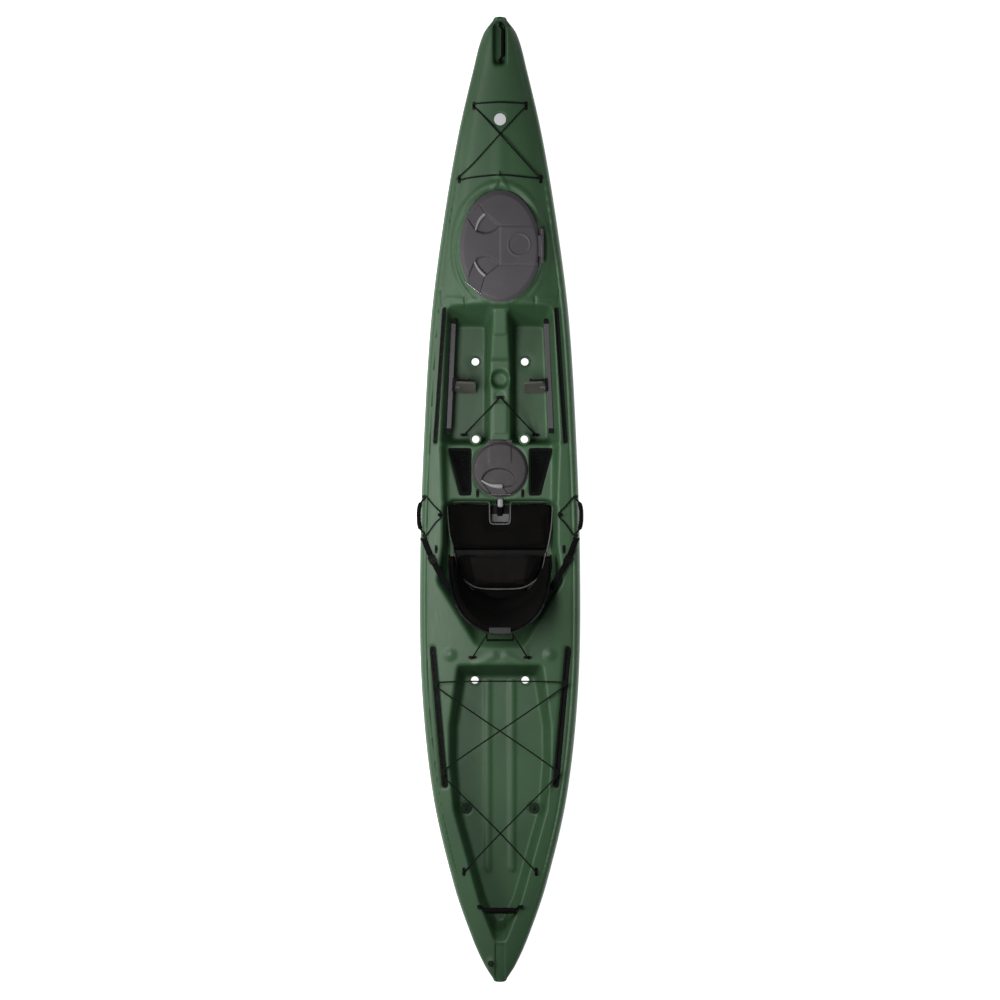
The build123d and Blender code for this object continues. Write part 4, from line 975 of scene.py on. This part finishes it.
def back_rim(materials):
    """A dark grey tube along the outer top edge of the backrest, its grey a painted highlight of that rim,
    and the plain patch in its middle.
    """
    shell = NODES["seat_back_shell"]
    tree = caster("seat_back_shell")
    place = shell.matrix_world
    line = []
    for turn in np.radians(np.arange(-72, 73, 6)):
        way = Vector((-math.cos(turn), math.sin(turn), 0))
        best = None
        for z in np.arange(0.471, 0.20, -0.006):
            found = tree.ray_cast(Vector((-0.40, 0, z)) + 0.5 * way, -way)[0]
            if found is not None:
                best = place @ found
                break
        if best is not None:
            line.append(best + Vector((0, 0, 0.001)))
    # the tube's grey is painted highlight along the backrest's top rim
    pipe = tube("seat_back_painted_highlight_tube", line, 0.0034, materials["back_rim_painted_highlight"], 10)
    settle(pipe, "backrest")
    patch = box_piece("seat_back_patch", (-0.590, -0.048, 0.4705), (-0.562, 0.048, 0.4735),
                      materials["back_patch"])
    settle(patch, "backrest")


def make_seat_details(cushion, materials):
    piped("thigh_piping", with_mirror(THIGH_PIPING), 0.1530, "thigh_pad", materials)
    piped("cushion_piping", with_mirror(CUSHION_PIPING), 0.1500, "boat", materials)
    seat_panel(cushion, materials)
    back_rim(materials)
    patch = box_piece("seat_patch", (-0.098, -0.040, 0.1165), (-0.062, 0.040, 0.1190),
                      materials["grey_patch"])
    settle(patch, "boat")
    gusset = box_piece("seat_gusset", (-0.478, -0.112, 0.1285), (-0.380, 0.112, 0.1325),
                       materials["seat_fabric"])
    settle(gusset, "boat")
    keeper = tube("thigh_strap_keeper", [(0.000, -0.0015, 0.2045), (-0.026, -0.0015, 0.2045)], 0.012,
                  materials["latch_bar"], 20)
    place = coordinates(keeper)
    place[:, 2] = 0.2045 + (place[:, 2] - 0.2045) * 0.3
    move_to(keeper, place)
    settle(keeper, "boat")


# ---- side handles ----
HANDLE_LINE = [
    (0.006, 0.3345, 0.2585), (-0.002, 0.344, 0.256), (-0.018, 0.3545, 0.2525), (-0.042, 0.3595, 0.251),
    (-0.071, 0.3605, 0.251), (-0.100, 0.3595, 0.251), (-0.124, 0.3545, 0.2525), (-0.140, 0.344, 0.256),
    (-0.148, 0.3345, 0.2585)]
GRIP_R, GRIP_END_R, RIB, RIB_PITCH = 0.0098, 0.0042, 0.0009, 0.0068


def make_side_handles(materials):
    """Ribbed grips moulded in a bow over their webbing."""
    for side, sign in SIDES:
        line = smooth_route([(x, sign * y, z) for x, y, z in HANDLE_LINE], 20)
        radii = []
        for point in line:
            from_end = min(0.006 - point[0], point[0] + 0.148)
            swell = float(smoothstep((from_end - 0.014) / 0.012))
            ribs = RIB * swell * math.cos(2 * math.pi * point[0] / RIB_PITCH)
            radii.append(GRIP_END_R + (GRIP_R - GRIP_END_R) * swell + ribs)
        grip = tube(f"side_handle_{side}_grip_cover", line, radii, materials["black_rubber"], 20)
        settle(grip, f"side_handle_{side}",
               [f"side_handle_grip_{side}", f"side_handle_strap_{side}"])


# ---- nets and track flanges ----
POCKET = [(0.218, 0.138), (0.218, 0.222), (0.034, 0.168), (0.034, 0.138)]
NET_PITCH, NET_R, NET_Z, NET_SAG = 0.0085, 0.0021, 0.2015, 0.006


def make_nets(materials):
    """The mesh of the two pockets: crossing strands that sag a little between their rims."""
    for side, sign in SIDES:
        corners = [(x, sign * y) for x, y in POCKET]
        points, faces = [], []
        for slant in (1, -1):
            for k in range(-30, 31):
                start = np.array([0.126, sign * 0.17]) + np.array([0.0, k * NET_PITCH])
                way = np.array([math.cos(0.75), slant * math.sin(0.75)])
                t = np.arange(-0.16, 0.16, 0.003)
                x, y = start[0] + way[0] * t, start[1] + way[1] * t
                deep = depth_in(x, y, corners)
                run = [(a, b, NET_Z - NET_SAG * min(1.0, max(0.0, d) / 0.03)) for a, b, d in zip(x, y, deep)
                       if d > -0.004]
                if len(run) < 3:
                    continue
                across = np.array([-way[1], way[0]]) * NET_R
                first = len(points)
                for a, b, c in run:
                    points += [(a + across[0], b + across[1], c), (a, b, c + NET_R),
                               (a - across[0], b - across[1], c), (a, b, c - NET_R)]
                rows = grid_faces(len(run), 4, round_columns=True)
                faces += [tuple(first + v for v in face) for face in rows]
        net = link_mesh(f"mesh_net_{side}", points, faces, materials["mesh_fabric"])
        settle(net, "boat", ["mesh_pockets"] if sign > 0 else [])


def make_track_flanges(materials):
    """The foot tracks' mounting flanges, against the sides of the footwells."""
    start, end = (0.299, 0.2335), (0.801, 0.2115)
    turn = math.atan2(end[1] - start[1], end[0] - start[0])
    length = math.hypot(end[0] - start[0], end[1] - start[1])
    for side, sign in SIDES:
        middle = ((start[0] + end[0]) / 2, sign * (start[1] + end[1]) / 2 - sign * 0.006)
        half = length / 2
        flange = box_piece(f"foot_flange_{side}", (middle[0] - half, middle[1] - 0.0105, 0.1895),
                           (middle[0] + half, middle[1] + 0.0105, 0.1925),
                           materials["track_plastic"], sign * turn, middle)
        settle(flange, "boat")
        for end_sign in (1, -1):
            cap = (middle[0] + end_sign * (half - 0.008) * math.cos(turn),
                   middle[1] + end_sign * (half - 0.008) * math.sin(sign * turn))
            block = box_piece(f"foot_cap_{side}_{'front' if end_sign > 0 else 'rear'}",
                              (cap[0] - 0.011, cap[1] - 0.012, 0.1885),
                              (cap[0] + 0.011, cap[1] + 0.012, 0.1945),
                              materials["black_plastic"], sign * turn, cap)
            settle(block, "boat")


# ---- hatch lids ----
LID_HALF_POINTS = 74
BOW_WELLS = {  # the finger wells of the bow lid, each from the end of its lever's bar round to the other
    "front": [(1.268, 0.067), (1.242, 0.036), (1.214, 0.001), (1.199, 0.016), (1.184, 0.038), (1.178, 0.068),
              (1.186, 0.100), (1.206, 0.107), (1.236, 0.093), (1.256, 0.076)],
    "rear": [(0.988, 0.067), (1.014, 0.037), (1.042, 0.003), (1.057, 0.018), (1.071, 0.040), (1.076, 0.070),
             (1.068, 0.100), (1.049, 0.109), (1.018, 0.096), (1.000, 0.078)],
}
BOW_BARS = {"front": [(1.264, 0.067), (1.250, 0.083), (1.224, 0.100), (1.194, 0.107)],
            "rear": [(0.992, 0.067), (1.006, 0.084), (1.030, 0.102), (1.052, 0.112)]}
MID_WELL = ([(0.134 - 0.051 + 0.057 * math.sin(math.radians(a)), 0.006 + 0.075 * math.cos(math.radians(a)))
             for a in range(0, 181, 15)] + [(0.064, -0.055), (0.057, -0.02), (0.056, 0.02), (0.064, 0.056)])
MID_BAR = [(0.086, 0.081), (0.072, 0.060), (0.063, 0.034), (0.061, 0.010), (0.061, -0.008)]

LEVER_HALF = 0.037                            # half the width of every latch, along its pin
LATCH_FACE, LATCH_BACK = 0.0005, 0.0075       # how far the two faces of a latch are under the lid's top
# A latch's pocket in the lid: its depth, its gap round the latch, and the width of its sloping edge.
POCKET_DEPTH, POCKET_GAP, POCKET_EDGE = 0.0125, 0.0016, 0.0025


def lever_outline(joint, route):
    """A latch seen from above: its two ends at the pin, joined round its finger bar."""
    row = next(j for j in frame["record"]["behaviour"]["joints"] if j["name"] == joint)
    (x, y, _), (ax, ay, _) = row["pos_m"], row["axis"]
    ends = [(x + k * LEVER_HALF * ax, y + k * LEVER_HALF * ay) for k in (1, -1)]
    ends.sort(key=lambda end: math.dist(end, route[0]))
    return [ends[0]] + list(route) + [ends[1]]


def pocket_cut(x, y, joint, route):
    """The lid is cut away round a latch, so that it can lift."""
    inside = POCKET_GAP + depth_in(x, y, lever_outline(joint, route))
    return -POCKET_DEPTH * smoothstep(0.5 + inside / POCKET_EDGE)


def lever_plate(name, joint, route, low, high, body, material, node):
    """The flat of a latch from its bar to its pin."""
    outline = lever_outline(joint, route)
    count = len(outline)
    corners = [(x, y, z) for z in (low, high) for x, y in outline]
    faces = [tuple(range(count))[::-1], tuple(range(count, 2 * count))]
    faces += [(k, (k + 1) % count, count + (k + 1) % count, count + k) for k in range(count)]
    plate = link_mesh(name, corners, faces, material)
    bevel = plate.modifiers.new("edges", "BEVEL")
    bevel.width, bevel.segments = 0.0012, 2
    plate.data.shade_flat()
    settle(plate, body, [node])


def depth_in(x, y, corners):
    """How deep points are inside a polygon, less than 0 outside it."""
    nearest, inside = np.full(x.shape, 1.0), np.zeros(x.shape, bool)
    for (ax, ay), (bx, by) in zip(corners, corners[1:] + corners[:1]):
        nearest = np.minimum(nearest, from_run(x, y, (ax, ay), (bx, by)))
        crosses = (ay > y) != (by > y)
        inside ^= crosses & (x < ax + (y - ay) * (bx - ax) / (by - ay if by != ay else 1e-9))
    return np.where(inside, nearest, -nearest)


def well(x, y, corners, depth):
    return -depth * smoothstep(0.5 + depth_in(x, y, corners) / 0.006)


def bow_lid_top(x, y):
    reach = egg_reach(x, y)
    rise = 0.0045 * (1 - reach ** 2) - 0.010 * smoothstep((reach - 0.90) / 0.12)
    for corners in BOW_WELLS.values():
        rise += well(x, y, corners, 0.011)
    for name, route in BOW_BARS.items():
        rise = np.minimum(rise, 0.004 + pocket_cut(x, y, f"bow_latch_{name}_lift", route))
    band = smoothstep((0.0865 - np.abs(x - 1.1265)) / 0.005) * smoothstep((0.004 - y) / 0.01)
    rise += 0.0022 * band
    for centre in (1.2125, 1.0405):
        rise -= lump(from_run(x, y, (centre, -0.002), (centre - 0.005, -0.17)), 0.004, 0.0016)
    circle = np.hypot(x - 1.129, y + 0.085)
    rise += lump(circle - 0.049, 0.005, 0.0016) - 0.0012 * smoothstep((0.046 - circle) / 0.004)
    return rise


def mid_lid_top(x, y):
    reach = np.hypot(x - MID_HATCH_X, y) / 0.122
    rise = 0.003 * (1 - reach ** 2) - 0.007 * smoothstep((reach - 0.90) / 0.12)
    rise += well(x, y, MID_WELL, 0.010)
    rise = np.minimum(rise, 0.003 + pocket_cut(x, y, "mid_latch_lift", MID_BAR))
    rise += 0.0030 * smoothstep((0.054 - np.abs(y)) / 0.008) * smoothstep((x - 0.155) / 0.04)
    return rise


def lid_skin(name, node, stations, half_width, top, rise, flat_side, material):
    """A moulded lid over its CAD solid: loops round the top, the edge and the underside."""
    low = float(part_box(node)[0].z)
    points = []
    for x in stations:
        half = max(half_width(x), 0.0005)
        y = half * np.linspace(1, -1, 2 * LID_HALF_POINTS + 1)
        z = top + rise(np.full_like(y, x), y)
        y = np.maximum(y, -flat_side)
        under = [(y[-1], top - 0.014), (y[-1] * 0.97, top - 0.0165), (y[-1] * 0.9, top - 0.011),
                 (y[0] * 0.9, top - 0.011), (y[0] * 0.97, top - 0.0165), (y[0], top - 0.014)]
        points += [(x, a, b) for a, b in zip(y, z)] + [(x, a, max(b, low)) for a, b in under]
    count = 2 * LID_HALF_POINTS + 7
    faces = grid_faces(len(stations), count, round_columns=True)
    faces += [tuple(range(count)), tuple(len(points) - 1 - k for k in range(count))]
    return link_mesh(name, points, [face[::-1] for face in faces], material)


def latch_bar(name, route, widths, z, body, materials):
    """A slim curved finger bar that stands in front of its well."""
    line = smooth_route([(x, y, z) for x, y in route], 8)
    radii = np.interp(np.linspace(0, 1, len(line)), np.linspace(0, 1, len(widths)), widths).tolist()
    bar = tube(name, line, radii, materials["latch_bar"], 14)
    place = coordinates(bar)
    place[:, 2] = z + (place[:, 2] - z) * 0.55
    move_to(bar, place)
    return settle(bar, body)


def box_piece(name, low, high, material, turn=0.0, centre=None):
    """A block with soft edges between two corners, turned about its middle."""
    corners = [(x, y, z) for x in (low[0], high[0]) for y in (low[1], high[1]) for z in (low[2], high[2])]
    faces = [(0, 1, 3, 2), (4, 6, 7, 5), (0, 4, 5, 1), (2, 3, 7, 6), (0, 2, 6, 4), (1, 5, 7, 3)]
    if turn:
        cx, cy = centre
        c, s = math.cos(turn), math.sin(turn)
        corners = [(cx + c * (x - cx) - s * (y - cy), cy + s * (x - cx) + c * (y - cy), z)
                   for x, y, z in corners]
    piece = link_mesh(name, corners, faces, material)
    bevel = piece.modifiers.new("edges", "BEVEL")
    bevel.width, bevel.segments = 0.0012, 2
    piece.data.shade_flat()
    return piece


def make_lids(materials):
    plastic = materials["hatch_plastic"]
    turns = np.linspace(0, math.pi, 210)
    stations = [EGG_X - (EGG_REAR - 0.001) * math.cos(t) for t in turns[:105]]
    stations += [EGG_X - (EGG_FRONT - 0.001) * math.cos(t) for t in turns[105:]]

    def egg_half(x):
        reach = (x - EGG_X) / (EGG_FRONT if x > EGG_X else EGG_REAR)
        return EGG_SIDE * math.sqrt(max(0.0, 1 - reach * reach))

    top = 0.353
    lid = lid_skin("bow_hatch_lid_skin", "bow_hatch_lid", stations, egg_half, top, bow_lid_top,
                   0.1685, plastic)
    settle(lid, "bow_hatch", ["bow_hatch_lid"])
    for name, route in BOW_BARS.items():
        latch_bar(f"bow_latch_bar_{name}", route, [0.0068, 0.0065, 0.0052, 0.0038], top + 0.0005,
                  f"bow_latch_{name}", materials)
        lever_plate(f"bow_latch_plate_{name}", f"bow_latch_{name}_lift", route,
                    top - LATCH_BACK, top - LATCH_FACE, f"bow_latch_{name}", plastic,
                    f"bow_hatch_latch_{name}")
    knuckles = tube("bow_hatch_knuckle", [(1.075, -0.186, 0.348), (1.171, -0.186, 0.348)],
                    0.0058, plastic, 20)
    settle(knuckles, "bow_hatch")
    arm = box_piece("bow_hatch_arm", (1.076, -0.184, 0.342), (1.170, -0.160, 0.3495), plastic)
    settle(arm, "bow_hatch")

    radius, top = 0.121, 0.213
    stations = [MID_HATCH_X - radius * math.cos(t) for t in np.linspace(0, math.pi, 130)]

    def mid_half(x):
        return math.sqrt(max(0.0, radius ** 2 - (x - MID_HATCH_X) ** 2))

    plastic = materials["mid_lid"]
    lid = lid_skin("mid_hatch_lid_skin", "mid_hatch_lid", stations, mid_half, top, mid_lid_top, 1.0, plastic)
    settle(lid, "mid_hatch", ["mid_hatch_lid"])
    latch_bar("mid_latch_bar", MID_BAR, [0.0040, 0.0055, 0.0075, 0.0095, 0.0095], top + 0.001,
              "mid_latch", materials)
    lever_plate("mid_latch_plate", "mid_latch_lift", MID_BAR, top - LATCH_BACK, top - LATCH_FACE,
                "mid_latch", plastic, "mid_hatch_latch")
    knuckle = tube("mid_hatch_knuckle", [(0.261, -0.026, 0.208), (0.261, 0.026, 0.208)],
                   0.0058, plastic, 20)
    settle(knuckle, "mid_hatch")
    arm = box_piece("mid_hatch_arm", (0.236, -0.026, 0.202), (0.259, 0.026, 0.2095), plastic)
    settle(arm, "mid_hatch")


# ---- carried-over fittings ----
BEVELS = {"rails_front": 0.0012, "rails_rear": 0.0012, "padeyes": 0.0008, "bow_hatch_rim": 0.001,
          "mid_hatch_rim": 0.001, "bow_hatch_latch_front": 0.0014, "bow_hatch_latch_rear": 0.0014,
          "mid_hatch_latch": 0.0014, "handle_anchors": 0.0016, "rail_sliders": 0.0012, "scupper_plugs": 0.001,
          "strap_buckles": 0.0008, "bow_badge": 0.0008, "drain_plug": 0.0006, "seat_back_shell": 0.0015,
          "bow_hatch_lid": 0.003, "mid_hatch_lid": 0.0025, "seat_pan": 0.001,
          **{f"foot_{part}_{side}": size for side, _ in SIDES
             for part, size in (("track", 0.001), ("carriage", 0.0018), ("pedal", 0.0018),
                                ("trigger", 0.0015))}}
# A few nodes look different in the photograph from the slot that the record gives them.
FINISHES = {"scupper_plugs": "plug_rubber", "drain_plug": "plug_rubber", "rail_screws": "dark_steel"}


def finish_fittings(materials):
    """Every CAD node that is still shown gets its material, and the larger ones get softened edges."""
    slots = {part["node"]: part["material_slot"] for part in frame["record"]["subparts"]}
    for node, piece in NODES.items():
        if piece.hide_render:
            continue
        piece.data.materials.clear()
        piece.data.materials.append(materials[FINISHES.get(node, slots[node])])
        if node in BEVELS:
            bevel = piece.modifiers.new("edges", "BEVEL")
            bevel.width, bevel.segments, bevel.angle_limit = BEVELS[node], 2, math.radians(35)
            bevel.use_clamp_overlap = True
            weighted = piece.modifiers.new("normals", "WEIGHTED_NORMAL")
            weighted.keep_sharp = True


def main():
    make_camera()
    materials = make_materials()
    make_cords(materials)
    make_lights()
    make_floor()
    make_hull(materials)
    make_straps(materials)
    make_seat(materials)
    make_lids(materials)
    make_side_handles(materials)
    make_nets(materials)
    make_track_flanges(materials)
    finish_fittings(materials)


main()
